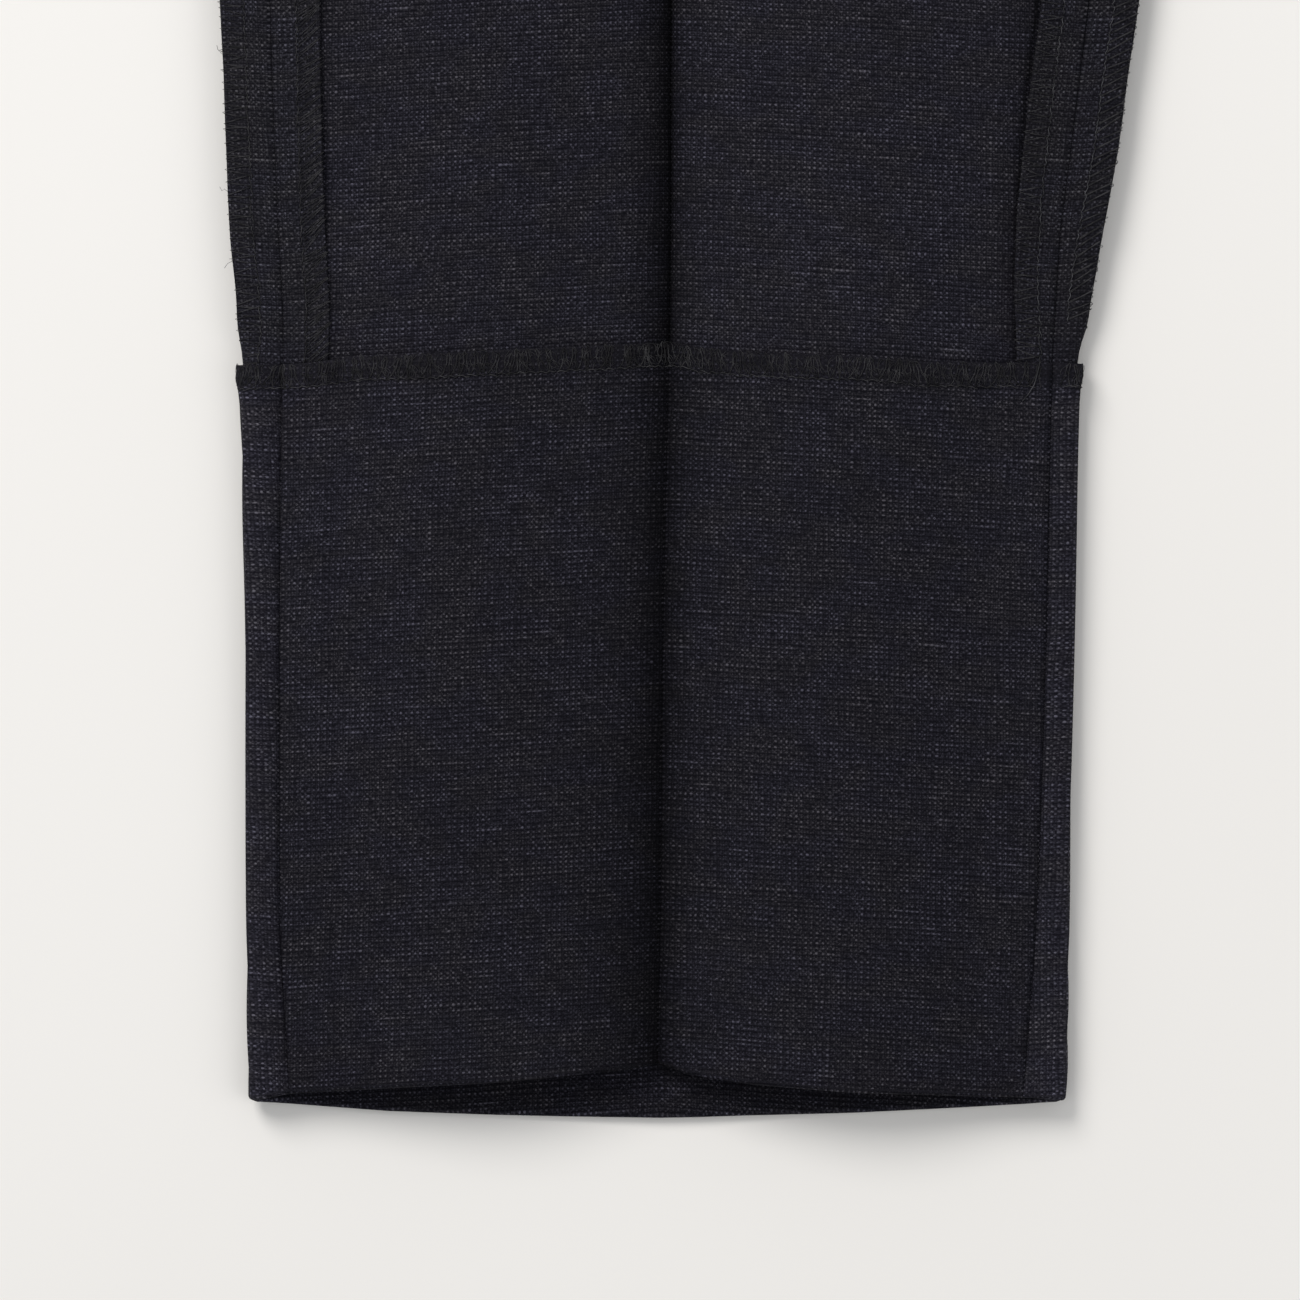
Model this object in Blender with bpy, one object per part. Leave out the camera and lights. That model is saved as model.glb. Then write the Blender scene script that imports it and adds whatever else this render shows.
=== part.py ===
"""Suit trousers, turned inside out and laid flat with the front up.

The hems point to -Y and the waist to +Y. The floor is z = 0, and x = 0 is the centre plane between
the legs. Each panel is a grid of points: one row for each height above the hem and one column for
each line that runs down the leg. The grid gets its thickness along its own normals. What lies on a
panel is made from the panel's points, moved out. Lengths are in millimetres until make_object().
"""
import math

import bmesh
import bpy
import numpy as np

MM = 0.001

# Cloth, seams and clearances
CLOTH = 1.0
GAP = 0.3
LAYER = CLOTH + GAP
ALLOWANCE = 10.5
TURN_UP = 152.4

# Heights above the corner of the hem, up the whole garment. The photo ends at its top edge.
PHOTO_TOP = 231.0
CROTCH = 742.0
SEAT_START = 768.0
FLY_BOTTOM = 800.0
WAIST = 965.0
BAND = 38.0
BAND_THICK = 3.0
BACK_RISE = 27.0
UNDERLAP = 42.0

# The garment's lowest point is the middle of the back hem, its highest the middle of the back waist.
HEM_DROP = 3.6
Y_MIDDLE = (WAIST + GAP + BAND + BACK_RISE - HEM_DROP) / 2

# One row for each height. "outer" and "inner" are the folds at the two sides of the leg, "crease" is
# the pressed crease, and the insets are the distances from a fold to its seam on the upper side.
# The "z" columns are heights above the floor. The lobes are the two soft rolls beside the crease.
COLUMNS = ("height", "outer", "inner", "crease", "inset_out", "inset_in",
           "z_out", "z_in", "z_crease", "lobe", "groove")
SECTIONS = np.array([
    (0, -249.4, -80.6, -164.7, 7.2, 7.9, 5.5, 5.5, 6.8, 4.2, 2.9),
    (42, -249.8, -80.1, -164.1, 5.6, 5.3, 5.5, 5.5, 6.8, 4.2, 2.9),
    (105, -250.2, -78.9, -163.5, 6.0, 4.4, 5.5, 5.5, 6.8, 4.2, 2.9),
    (152, -251.2, -77.8, -162.5, 7.6, 4.6, 5.5, 5.5, 6.8, 4.2, 2.9),
    (165, -251.8, -76.2, -162.3, 8.3, 5.4, 5.5, 5.5, 6.8, 4.2, 3.1),
    (188, -253.3, -71.8, -162.1, 8.5, 8.0, 5.5, 5.5, 6.8, 4.2, 3.4),
    (231, -254.9, -65.8, -162.0, 8.6, 8.7, 5.5, 5.5, 6.8, 4.2, 3.6),
    (320, -258.5, -56.0, -160.0, 9.0, 9.0, 5.7, 5.6, 6.9, 4.1, 3.6),
    (420, -264.0, -45.5, -156.5, 9.0, 9.5, 6.0, 5.8, 7.0, 4.0, 3.6),
    (540, -272.0, -31.5, -151.5, 9.0, 10.2, 6.5, 6.1, 7.4, 4.0, 3.3),
    (640, -279.3, -16.5, -147.0, 9.0, 10.2, 7.1, 6.5, 7.9, 3.7, 2.8),
    (690, -281.4, -8.0, -144.3, 9.2, 8.6, 7.5, 6.8, 8.2, 3.4, 2.5),
    (720, -281.6, -3.6, -142.2, 9.4, 5.6, 7.8, 7.0, 8.4, 3.1, 2.3),
    (735, -281.2, -2.1, -141.0, 9.5, 3.0, 7.9, 7.2, 8.5, 3.0, 2.1),
    (742, -280.7, -0.8, -140.4, 9.6, 0.0, 8.0, 7.3, 8.6, 2.9, 2.0),
    (750, -280.0, 0.0, -139.7, 9.7, 0.0, 8.0, 7.4, 8.6, 2.8, 2.0),
    (765, -278.2, 0.0, -138.3, 9.8, 0.0, 8.1, 7.6, 8.8, 2.6, 1.8),
    (800, -272.5, 0.0, -134.6, 10.0, 0.0, 8.4, 8.1, 9.0, 2.2, 1.5),
    (850, -261.5, 0.0, -128.6, 10.0, 0.0, 8.9, 8.7, 9.4, 1.7, 1.1),
    (905, -245.5, 0.0, -120.6, 10.0, 0.0, 9.4, 9.4, 9.7, 1.0, 0.7),
    (965, -225.0, 0.0, -111.0, 10.0, 0.0, 10.0, 10.0, 10.0, 0.2, 0.2),
    (1003.3, -215.5, 0.0, -110.0, 10.0, 0.0, 10.0, 10.0, 10.0, 0.0, 0.0),
])

# Where the hem edge runs, as places across the leg from the crease and lifts above the hem's corner
HEM_COLUMNS = ("across", "front", "back")
HEM_EDGE = np.array([
    (-86.7, 0.1, 0.0),
    (-77.7, 1.7, -0.6),
    (-56.5, 3.0, -2.2),
    (-33.6, 4.3, -3.0),
    (-19.5, 5.6, -3.3),
    (-6.0, 6.9, -3.5),
    (0.0, 8.1, -3.6),
    (6.5, 5.8, -3.5),
    (18.7, 3.9, -3.1),
    (39.9, 2.2, -2.6),
    (64.0, 1.3, -1.4),
    (78.0, 0.9, -0.6),
    (85.7, 0.1, 0.0),
])
HEM_BLEND = 75.0
HEM_FOLD = 86.0
HEM_SEAM = 77.7

# The crease valley falls away slowly on its outer side and steeply on its inner side.
GROOVE_OUT = 6.0
GROOVE_IN = 2.6
BACK_RIDGE = 0.8
BACK_RIDGE_WIDTH = 5.0
TURN_UP_RAMP = 9.6
KNEE = 421.0
FOLD_RADIUS = 4.5
FOLD_SHARE = 0.75
FOLD_POINTS = 13
CROTCH_FOLD_POINTS = 8
INNER_POINTS = 12

# Where the inner seam runs close to its fold, or at the seat, its allowance lies under the back.
UNDER_INSET = 6.0
UNDER_INSET_RAMP = 2.5
UNDER_FLAT = 12.0
UNDER_RAMP = 12.0

# At the crotch the back tucks under the front's edge as the inner seam runs out.
TUCK = 0.9
TUCK_INSET = 3.0
WRAP_REACH = 4.0
SEAT_SEAM_FROM = 764.0

# Fineness of the paths, the smallest step worth a point, and how far a mitre may reach
SAMPLES = 160
TINY = 0.01
MITRE_LIMIT = 0.25

# Rows of the panels, from the waist down, and the places of the columns that keep to an edge
ROW_HEIGHTS = (965, 905, 850, 800, 765, 750, 742, 735, 720, 690, 640, 540, 420, 320, 231, 192,
               162, TURN_UP, 75, 1)
FRONT_EDGE_OUT = (0, 5.25, ALLOWANCE, 38)
FRONT_EDGE_IN = (42, 27, 16.5, ALLOWANCE, 5.25, 0)
FRONT_CREASE = (-12, -5, -1.8, 0, 1.2, 4, 12)
BACK_EDGE = (0, 3.5, 7, ALLOWANCE, 13.5, 17)
BACK_CREASE = (-9, 0, 9)
BETWEEN = 3

# Colours of the pieces
NAVY = (0.017, 0.017, 0.024)
NAVY_DARK = (0.011, 0.011, 0.016)
POCKETING = (0.020, 0.021, 0.030)
BRASS_DARK = (0.10, 0.085, 0.06)
HORN = (0.020, 0.017, 0.016)


def clear_scene():
    for item in list(bpy.data.objects):
        bpy.data.objects.remove(item, do_unlink=True)


def smooth(value):
    value = np.clip(value, 0.0, 1.0)
    return value * value * (3 - 2 * value)


def curve_through(xs, ys, x):
    """A smooth curve through the points that never overshoots them."""
    step = np.diff(xs)
    slope = np.diff(ys) / step
    tangent = np.zeros(len(xs))
    tangent[0] = slope[0]
    tangent[-1] = slope[-1]
    same = slope[:-1] * slope[1:] > 0
    weight_a = 2 * step[1:] + step[:-1]
    weight_b = step[1:] + 2 * step[:-1]
    safe_a = np.where(same, slope[:-1], 1.0)
    safe_b = np.where(same, slope[1:], 1.0)
    mean = (weight_a + weight_b) / (weight_a / safe_a + weight_b / safe_b)
    tangent[1:-1] = np.where(same, mean, 0.0)
    i = int(np.clip(np.searchsorted(xs, x) - 1, 0, len(step) - 1))
    t = (x - xs[i]) / step[i]
    a = (1 + 2 * t) * (1 - t) ** 2 * ys[i] + t * (1 - t) ** 2 * step[i] * tangent[i]
    b = t * t * (3 - 2 * t) * ys[i + 1] + t * t * (t - 1) * step[i] * tangent[i + 1]
    return a + b


def section(height):
    """The sizes of the garment at one height, by name."""
    heights = SECTIONS[:, 0]
    return {name: curve_through(heights, SECTIONS[:, i], height) for i, name in enumerate(COLUMNS)}


def hem_lift(across, side):
    """How far the slanted hem edge lies above its corner."""
    column = HEM_COLUMNS.index(side)
    return np.interp(across, HEM_EDGE[:, 0], HEM_EDGE[:, column])


def back_floor(x, height, here):
    """The middle of the back cloth, on the floor or on the turn-up, the inner or the seat allowance."""
    turn_up = 1 - smooth((height - TURN_UP) / TURN_UP_RAMP)
    seam_under = 1 - smooth((here["inset_in"] - UNDER_INSET) / UNDER_INSET_RAMP)
    seam_under = seam_under * (1 - smooth((here["inner"] - x - UNDER_FLAT) / UNDER_RAMP))
    ridge = BACK_RIDGE * smooth((KNEE - height) / (KNEE - PHOTO_TOP))
    ridge = ridge * np.exp(-((x - here["crease"]) / BACK_RIDGE_WIDTH) ** 2)
    return CLOTH / 2 + LAYER * np.maximum(turn_up, seam_under) + ridge


def front_height(x, here, left_edge, right_edge):
    """The middle of the front cloth: two soft lobes with the crease valley between them."""
    outer = x < here["crease"]
    t_out = (x - left_edge) / (here["crease"] - left_edge)
    t_in = (right_edge - x) / (right_edge - here["crease"])
    t = np.where(outer, t_out, t_in)
    z_edge = np.where(outer, here["z_out"], here["z_in"])
    lobe = here["lobe"] * np.sin(math.pi * t) ** 2
    fall = np.where(outer, GROOVE_OUT, GROOVE_IN)
    groove = here["groove"] * np.exp(-np.abs(x - here["crease"]) / fall)
    return z_edge + (here["z_crease"] - z_edge) * t + lobe - groove


def along(path):
    """Distance along a path from its first point."""
    steps = np.linalg.norm(np.diff(path, axis=0), axis=1)
    return np.concatenate([[0.0], np.cumsum(steps)])


def pick(path, places):
    """Points of a path at given distances along it."""
    distance = along(path)
    return np.stack([np.interp(places, distance, path[:, k]) for k in range(path.shape[1])], axis=1)


def places_across(length, crease_at, start, end, beside):
    """Column places: kept to both edges and to the crease, and even between them."""
    left = np.array(start, float)
    right = length - np.array(end, float)
    middle = crease_at + np.array(beside, float)
    first = np.linspace(left[-1], middle[0], BETWEEN + 2)[1:-1]
    second = np.linspace(middle[-1], right[0], BETWEEN + 2)[1:-1]
    return np.concatenate([left, first, middle, second, right])


def front_row(height):
    """One row of the left front panel, from the outer seam to the inner seam or the centre."""
    here = section(height)
    left_edge = here["outer"] + here["inset_out"] + GAP / 2
    right_edge = here["inner"] - here["inset_in"] - GAP / 2
    x = np.unique(np.concatenate([np.linspace(left_edge, right_edge, SAMPLES), [here["crease"]]]))
    z = front_height(x, here, left_edge, right_edge)
    path = np.stack([x, z], axis=1)
    crease_at = along(path)[np.searchsorted(x, here["crease"])]
    length = along(path)[-1]
    row = pick(path, places_across(length, crease_at, FRONT_EDGE_OUT, FRONT_EDGE_IN, FRONT_CREASE))
    across = row[:, 0] - SECTIONS[0, 3]
    y = height + hem_lift(across, "front") * (1 - smooth(height / HEM_BLEND))
    return np.stack([row[:, 0], y, row[:, 1]], axis=1)


def half_round(centre_x, radius, z_from, z_to, side, count=FOLD_POINTS):
    """The fold at a side of the leg, from one layer to the other."""
    angle = np.linspace(0, math.pi, count)
    x = centre_x + side * radius * np.sin(angle)
    z = (z_from + z_to) / 2 + (z_from - z_to) / 2 * np.cos(angle)
    return np.stack([x, z], axis=1)


def back_path(height):
    """The back cloth in section: round the outer fold, along the floor and up the inner fold."""
    here = section(height)
    radius_out = min(FOLD_RADIUS, FOLD_SHARE * here["inset_out"])
    wrap = 1 - smooth((height - CROTCH) / (SEAT_START - CROTCH))
    on_leg = height < CROTCH
    reach = 1.0 if on_leg else min(1.0, WRAP_REACH * wrap)
    radius_in = max(CLOTH / 2 * reach, min(FOLD_RADIUS, FOLD_SHARE * here["inset_in"]))
    fold_in = min(here["inner"], -GAP / 2 - CLOTH / 2 * reach)
    start = np.array([[here["outer"] + here["inset_out"] - GAP / 2, here["z_out"]]])
    turn_x = here["outer"] + radius_out
    floor_out = back_floor(turn_x, height, here)
    outer = half_round(turn_x, radius_out, here["z_out"], floor_out, -1)
    end_x = fold_in - radius_in
    x = np.unique(np.concatenate([np.linspace(turn_x, end_x, SAMPLES), [here["crease"]]]))
    floor = np.stack([x, back_floor(x, height, here)], axis=1)
    tucked = TUCK * (1 - smooth(here["inset_in"] / TUCK_INSET))
    top_in = here["z_in"] - tucked
    inner = half_round(end_x, radius_in, floor[-1, 1], top_in, 1)
    seam_x = here["inner"] - here["inset_in"] + GAP / 2
    if seam_x < end_x - TINY:
        inner = np.concatenate([inner, [[seam_x, top_in]]])
    if here["inset_in"] < 1:
        inner = inner[:CROTCH_FOLD_POINTS]
    keep = along(inner)[-1] * wrap
    inner = pick(inner, np.linspace(0, keep, INNER_POINTS)) if wrap > TINY else inner[:1]
    path = np.concatenate([start, outer, floor[1:], inner[1:]])
    crease_at = along(path)[1 + len(outer) + np.searchsorted(x, here["crease"]) - 1]
    return path, crease_at, here


def back_lift(row, height, here):
    """How far each point of a back row is moved along the leg by the hem's slant and the seat's rise."""
    across = row[:, 0] - SECTIONS[0, 3]
    on_top = row[:, 1] > here["z_out"] / 2
    seam = np.clip((HEM_FOLD - np.abs(across)) / (HEM_FOLD - HEM_SEAM), 0, 1)
    hem_on_top = hem_lift(np.sign(across) * HEM_SEAM, "front") * seam
    hem = np.where(on_top, hem_on_top, hem_lift(across, "back"))
    rise = BACK_RISE * (1 - np.abs(row[:, 0] / here["outer"]))
    rise = np.where(on_top, 0.0, rise) * smooth((height - FLY_BOTTOM) / (WAIST - FLY_BOTTOM))
    return hem * (1 - smooth(height / HEM_BLEND)) + rise


def back_row(height):
    """One row of the left back panel, from the outer seam round to the inner seam or the seat seam."""
    path, crease_at, here = back_path(height)
    length = along(path)[-1]
    places = places_across(length, crease_at, BACK_EDGE, BACK_EDGE[::-1], BACK_CREASE)
    row = pick(path, places)
    y = height + back_lift(row, height, here)
    return np.stack([row[:, 0], y, row[:, 1]], axis=1)


def outward(points, sign):
    """For each point, the offset that moves every face around it out by one millimetre."""
    rows, cols = points.shape[:2]
    a = points[1:, 1:] - points[:-1, :-1]
    b = points[:-1, 1:] - points[1:, :-1]
    normal = sign * np.cross(a, b)
    normal /= np.linalg.norm(normal, axis=2, keepdims=True)
    offset = np.zeros_like(points)
    for i in range(rows):
        for j in range(cols):
            around = normal[max(i - 1, 0):i + 1, max(j - 1, 0):j + 1].reshape(-1, 3)
            offset[i, j] = np.linalg.pinv(around, rcond=MITRE_LIMIT) @ np.ones(len(around))
    return offset


def with_turn_up(points, offset, heights):
    """Adds the fold at the hem and the turned-up layer outside the panel, and says where it starts."""
    along_leg = np.array([0.0, 1.0, 0.0])
    lean = math.atan2(LAYER / 2, CLOTH / 2)
    corner = (1 - math.cos(lean)) / math.sin(lean)
    nose = 1 / math.sin(lean)
    low = [i for i, height in enumerate(heights) if height <= TURN_UP]
    hem = low[-1]
    fold = points[hem] + LAYER / 2 * offset[hem] - CLOTH / 2 * along_leg
    turned = points[low[::-1]] + LAYER * offset[low[::-1]]
    panel_offset = offset.copy()
    panel_offset[hem] += corner * along_leg
    fold_offset = np.tile(nose * along_leg, (points.shape[1], 1))
    turned_offset = -offset[low[::-1]]
    turned_offset[0] += corner * along_leg
    all_points = np.concatenate([points, fold[None], turned])
    all_offsets = np.concatenate([panel_offset, fold_offset[None], turned_offset])
    return all_points, all_offsets, len(points) + 1


def at_heights(grid, heights, wanted):
    """Rows of a grid at the wanted heights, on the flat stretches between its own rows."""
    position = np.interp(wanted, heights[::-1], np.arange(len(heights))[::-1])
    first = np.minimum(position.astype(int), len(heights) - 2)
    part = (position - first)[:, None, None]
    return grid[first] * (1 - part) + grid[first + 1] * part


def between_heights(grid, heights, low, high):
    """Rows of a grid between two heights, with the end rows cut exactly there."""
    inside = [height for height in heights if low < height < high]
    return at_heights(grid, heights, [high] + inside + [low])


def sheet(points, offset, low=-CLOTH / 2, high=CLOTH / 2, turned_from=None):
    """A closed wall between two offsets of a grid of points: its corners and its faces.

    The rows of a turned-up layer run back, so its faces are split along the other diagonal, to lie
    flat on the faces beneath.
    """
    rows, cols = points.shape[:2]
    low = np.broadcast_to(np.asarray(low, float), (rows, cols))[..., None]
    high = np.broadcast_to(np.asarray(high, float), (rows, cols))[..., None]
    under = (points + low * offset).reshape(-1, 3)
    over = (points + high * offset).reshape(-1, 3)
    count = rows * cols
    corners = np.concatenate([under, over])
    faces = []
    for i in range(rows - 1):
        for j in range(cols - 1):
            a = i * cols + j
            quad = (a, a + cols, a + cols + 1, a + 1)
            if turned_from is not None and i >= turned_from:
                quad = quad[1:] + quad[:1]
            for split in (quad[:3], (quad[0], quad[2], quad[3])):
                faces.append(split)
                faces.append(tuple(count + corner for corner in split[::-1]))
    for i in range(rows - 1):
        for a, b in ((i * cols, (i + 1) * cols), ((i + 2) * cols - 1, (i + 1) * cols - 1)):
            faces.append((a, count + a, count + b, b))
    for j in range(cols - 1):
        last = (rows - 1) * cols + j
        for a, b in ((j + 1, j), (last, last + 1)):
            faces.append((a, count + a, count + b, b))
    return corners, faces


def signed_volume(corners, faces):
    total = 0.0
    for face in faces:
        for k in range(1, len(face) - 1):
            total += np.dot(corners[face[0]], np.cross(corners[face[k]], corners[face[k + 1]]))
    return total


def material(name, colour, roughness=0.85, metallic=0.0):
    made = bpy.data.materials.get(name)
    if made is None:
        made = bpy.data.materials.new(name)
        made.use_nodes = True
        shader = made.node_tree.nodes["Principled BSDF"]
        shader.inputs["Base Color"].default_value = (*colour, 1.0)
        shader.inputs["Roughness"].default_value = roughness
        shader.inputs["Metallic"].default_value = metallic
    return made


def make_object(name, corners, faces, finish, mirror=False):
    """A named object in metres, with its faces pointing out, mirrored to the other leg if asked."""
    corners = np.array(corners, float)
    if mirror:
        corners = corners * np.array([-1.0, 1.0, 1.0])
    if signed_volume(corners - corners.mean(axis=0), faces) < 0:
        faces = [face[::-1] for face in faces]
    corners = (corners - np.array([0.0, Y_MIDDLE, 0.0])) * MM
    mesh = bpy.data.meshes.new(name)
    mesh.from_pydata([tuple(corner) for corner in corners], [], faces)
    mesh.validate()
    mesh.update()
    made = bpy.data.objects.new(name, mesh)
    made.data.materials.append(finish)
    bpy.context.scene.collection.objects.link(made)
    return made


def on_both_legs(name, corners, faces, finish):
    make_object(name + "_left", corners, faces, finish)
    make_object(name + "_right", corners, faces, finish, mirror=True)


clear_scene()
heights = list(ROW_HEIGHTS)
cloth = material("suiting", NAVY)
seam_edge = material("overlocked_allowance", NAVY_DARK)

# Front and back panels, each with its turned-up hem
front = np.array([front_row(height) for height in heights])
front_out = outward(front, 1)
front_points, front_offsets, turned_row = with_turn_up(front, front_out, heights)
on_both_legs("front", *sheet(front_points, front_offsets, turned_from=turned_row), cloth)
back = np.array([back_row(height) for height in heights])
back_out = outward(back, -1)
below_crotch = np.array(heights) < CROTCH
back_out[:, 0] = front_out[:, 0]
back_out[below_crotch, -1] = front_out[below_crotch, -1]
seat_rows = np.array(heights) > SEAT_SEAM_FROM
back_out[seat_rows, -1] = (0.0, 0.0, -1.0)
back_points, back_offsets, turned_row = with_turn_up(back, back_out, heights)
on_both_legs("back", *sheet(back_points, back_offsets, turned_from=turned_row), cloth)

# Seam allowances, pressed open on the panels and ending at the turn-up's edge
STRIP_LOW = CLOTH / 2 + GAP
STRIP_HIGH = STRIP_LOW + CLOTH
INSEAM_TOP = 720.0
CROTCH_CLEAR = 8.0
SEAT_CLEAR = 4.0
OUTSEAM = (TURN_UP + GAP, WAIST)
INSEAM = (TURN_UP + GAP, INSEAM_TOP)
FRONT_RISE = (CROTCH + CROTCH_CLEAR, FLY_BOTTOM - GAP)
BACK_RISE_SEAM = (SEAT_START + SEAT_CLEAR, WAIST)


def strip(name, grid, offset, columns, span):
    part = between_heights(grid[:, columns], heights, *span)
    part_out = between_heights(offset[:, columns], heights, *span)
    on_both_legs(name, *sheet(part, part_out, STRIP_LOW, STRIP_HIGH), seam_edge)


strip("outseam_front", front, front_out, slice(0, 3), OUTSEAM)
strip("outseam_back", back, back_out, slice(0, 4), OUTSEAM)
strip("inseam_front", front, front_out, slice(-3, None), INSEAM)
strip("inseam_back", back, back_out, slice(-4, None), INSEAM)
strip("rise_front", front, front_out, slice(-3, None), FRONT_RISE)
strip("rise_back", back, back_out, slice(-4, None), BACK_RISE_SEAM)


# The waistband halves: from the centre front round the side to the centre back
BAND_FOLD = 5.0
BAND_FOLD_POINTS = 7
BAND_ROWS = (WAIST + GAP + BAND, WAIST + GAP + BAND / 2, WAIST + GAP)
BAND_FRONT_STEPS = 4
BAND_BACK_STEPS = 5


def band_row(height):
    here = section(height)
    turn_x = here["outer"] + BAND_FOLD
    front_x = np.linspace(-GAP / 2, turn_x, BAND_FRONT_STEPS + 1)
    upper = np.stack([front_x, np.full(len(front_x), here["z_out"])], axis=1)
    turn = half_round(turn_x, BAND_FOLD, here["z_out"], BAND_THICK / 2, -1, BAND_FOLD_POINTS)
    back_x = np.linspace(turn_x, -GAP / 2, BAND_BACK_STEPS + 1)
    lower = np.stack([back_x, np.full(len(back_x), BAND_THICK / 2)], axis=1)
    path = np.concatenate([upper, turn[1:], lower[1:]])
    on_top = path[:, 1] > here["z_out"] / 2
    rise = BACK_RISE * (1 - np.abs(path[:, 0] / here["outer"]))
    y = height + np.where(on_top, 0.0, rise)
    return np.stack([path[:, 0], y, path[:, 1]], axis=1)


band = np.array([band_row(height) for height in BAND_ROWS])
on_both_legs("waistband", *sheet(band, outward(band, -1), -BAND_THICK / 2, BAND_THICK / 2), cloth)

# The underlap: a tab sewn on the right half that buttons over the left one
UNDERLAP_SEAT = 26.0
UNDERLAP_LIFT = BAND_THICK + GAP
UNDERLAP_ROUND = 4.0
lap_x = (-UNDERLAP, UNDERLAP_ROUND - UNDERLAP, 0.0, UNDERLAP_SEAT)
lap_shrink = np.array([1.0, 0.0, 0.0, 0.0]) * UNDERLAP_ROUND / 2
lap = np.zeros((len(BAND_ROWS), len(lap_x), 3))
for i, row in enumerate(BAND_ROWS):
    lap[i, :, 0] = lap_x
    lap[i, :, 1] = row + (i - 1) * lap_shrink
    lap[i, :, 2] = section(row)["z_out"] + UNDERLAP_LIFT
make_object("waist_underlap", *sheet(lap, outward(lap, 1), -BAND_THICK / 2, BAND_THICK / 2), cloth)

# Belt loops on the face side of the band, which is inside: three on the back and four in front
LOOP_WIDTH = 10.0
LOOP_THICK = 1.6
LOOP_BELOW = 6.0
LOOP_SHORT = 1.5
LOOP_ARCH = 0.7
LOOP_PLACES = ((0.0, False), (-118.0, False), (118.0, False),
               (-88.0, True), (88.0, True), (-190.0, True), (190.0, True))


def belt_loop(name, centre, in_front):
    """A narrow strip from just under the band to just below its edge, bowed away from it."""
    here = section(BAND_ROWS[1])
    rise = 0.0 if in_front else BACK_RISE * (1 - abs(centre / here["outer"]))
    low = WAIST - LOOP_BELOW + rise
    high = WAIST + GAP + BAND - LOOP_SHORT + rise
    half = BAND_THICK / 2
    seat = here["z_out"] - half - GAP if in_front else BAND_THICK + GAP
    away = -1 if in_front else 1
    grid = np.zeros((5, 3, 3))
    for i, part in enumerate(np.linspace(0, 1, 5)):
        for j, side in enumerate((-0.5, 0.0, 0.5)):
            bow = LOOP_ARCH * math.sin(math.pi * part)
            z = seat + away * (LOOP_THICK / 2 + bow)
            grid[i, j] = (centre + side * LOOP_WIDTH, high + (low - high) * part, z)
    corners, faces = sheet(grid, outward(grid, 1), -LOOP_THICK / 2, LOOP_THICK / 2)
    make_object(name, corners, faces, cloth)


for number, (centre, in_front) in enumerate(LOOP_PLACES, start=1):
    belt_loop(f"belt_loop_{number}", centre, in_front)

# The closed fly, from the left front outwards: facing, zip and shield
FLY = (FLY_BOTTOM, WAIST - GAP)
FACING_LOW = CLOTH / 2 + GAP
FACING_HIGH = FACING_LOW + CLOTH
ZIP_LOW = FACING_HIGH + GAP
TAPE_THICK = 0.8
CHAIN_THICK = 2.0
SHIELD_THICK = 2.0
CHAIN_TOP = WAIST - 14.0
CHAIN = (FLY_BOTTOM + 5.0, CHAIN_TOP)
TAPE = (FLY_BOTTOM + 4.0, WAIST - 1.0)
SLIDER_LENGTH = 10.0
lining = material("pocketing", POCKETING)
tape = material("zip_tape", NAVY_DARK)
brass = material("zip_metal", BRASS_DARK, 0.4, 0.9)


def fly_layer(name, columns, span, low, high, finish):
    part = between_heights(front[:, columns], heights, *span)
    part_out = between_heights(front_out[:, columns], heights, *span)
    make_object(name, *sheet(part, part_out, low, high), finish)


def squeezed(columns, start, end):
    """Two columns of the left front moved in by small distances, for a narrow piece between them."""
    part = front[:, columns].copy()
    part[:, 0, 0] += start
    part[:, -1, 0] -= end
    return part


fly_layer("fly_facing", slice(-6, None), FLY, FACING_LOW, FACING_HIGH, cloth)
for name, columns in (("zip_tape_left", slice(-5, -3)), ("zip_tape_right", slice(-3, None))):
    points = squeezed(columns, GAP, GAP)
    part = between_heights(points, heights, *TAPE)
    part_out = between_heights(front_out[:, columns], heights, *TAPE)
    make_object(name, *sheet(part, part_out, ZIP_LOW, ZIP_LOW + TAPE_THICK), tape)
fly_layer("zip_chain", slice(-4, -2), CHAIN, ZIP_LOW, ZIP_LOW + CHAIN_THICK, brass)

# The shield is caught on the right front, rides over the zip and lifts over the slider
SHIELD_ROWS = (FLY[1], 925, 912, 905, 850, FLY[0])
SHIELD_LIFTED = (1, 1, 0, 0, 0, 0)
SLIDER_THICK = 3.0
SLIDER_LOW = ZIP_LOW + TAPE_THICK + GAP
TAB_LOW = ZIP_LOW + CHAIN_THICK + GAP
TAB_THICK = 1.2
SHIELD_SLIDER_LIFT = SLIDER_LOW + SLIDER_THICK - ZIP_LOW - CHAIN_THICK
SHIELD_ON_CENTRE = 3.6

left_part = at_heights(front[:, -6:], heights, SHIELD_ROWS)
left_out = at_heights(front_out[:, -6:], heights, SHIELD_ROWS)
flip = np.array([-1.0, 1.0, 1.0])
shield = np.concatenate([left_part, (left_part * flip)[:, :-4:-1]], axis=1)
shield_out = np.concatenate([left_out, (left_out * flip)[:, :-4:-1]], axis=1)
shield_low = np.tile([TAB_LOW] * 6 + [SHIELD_ON_CENTRE, STRIP_LOW, STRIP_LOW], (6, 1))
shield_low[:, :6] += SHIELD_SLIDER_LIFT * np.array(SHIELD_LIFTED)[:, None]
make_object("fly_shield", *sheet(shield, shield_out, shield_low, shield_low + SHIELD_THICK), cloth)


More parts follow.
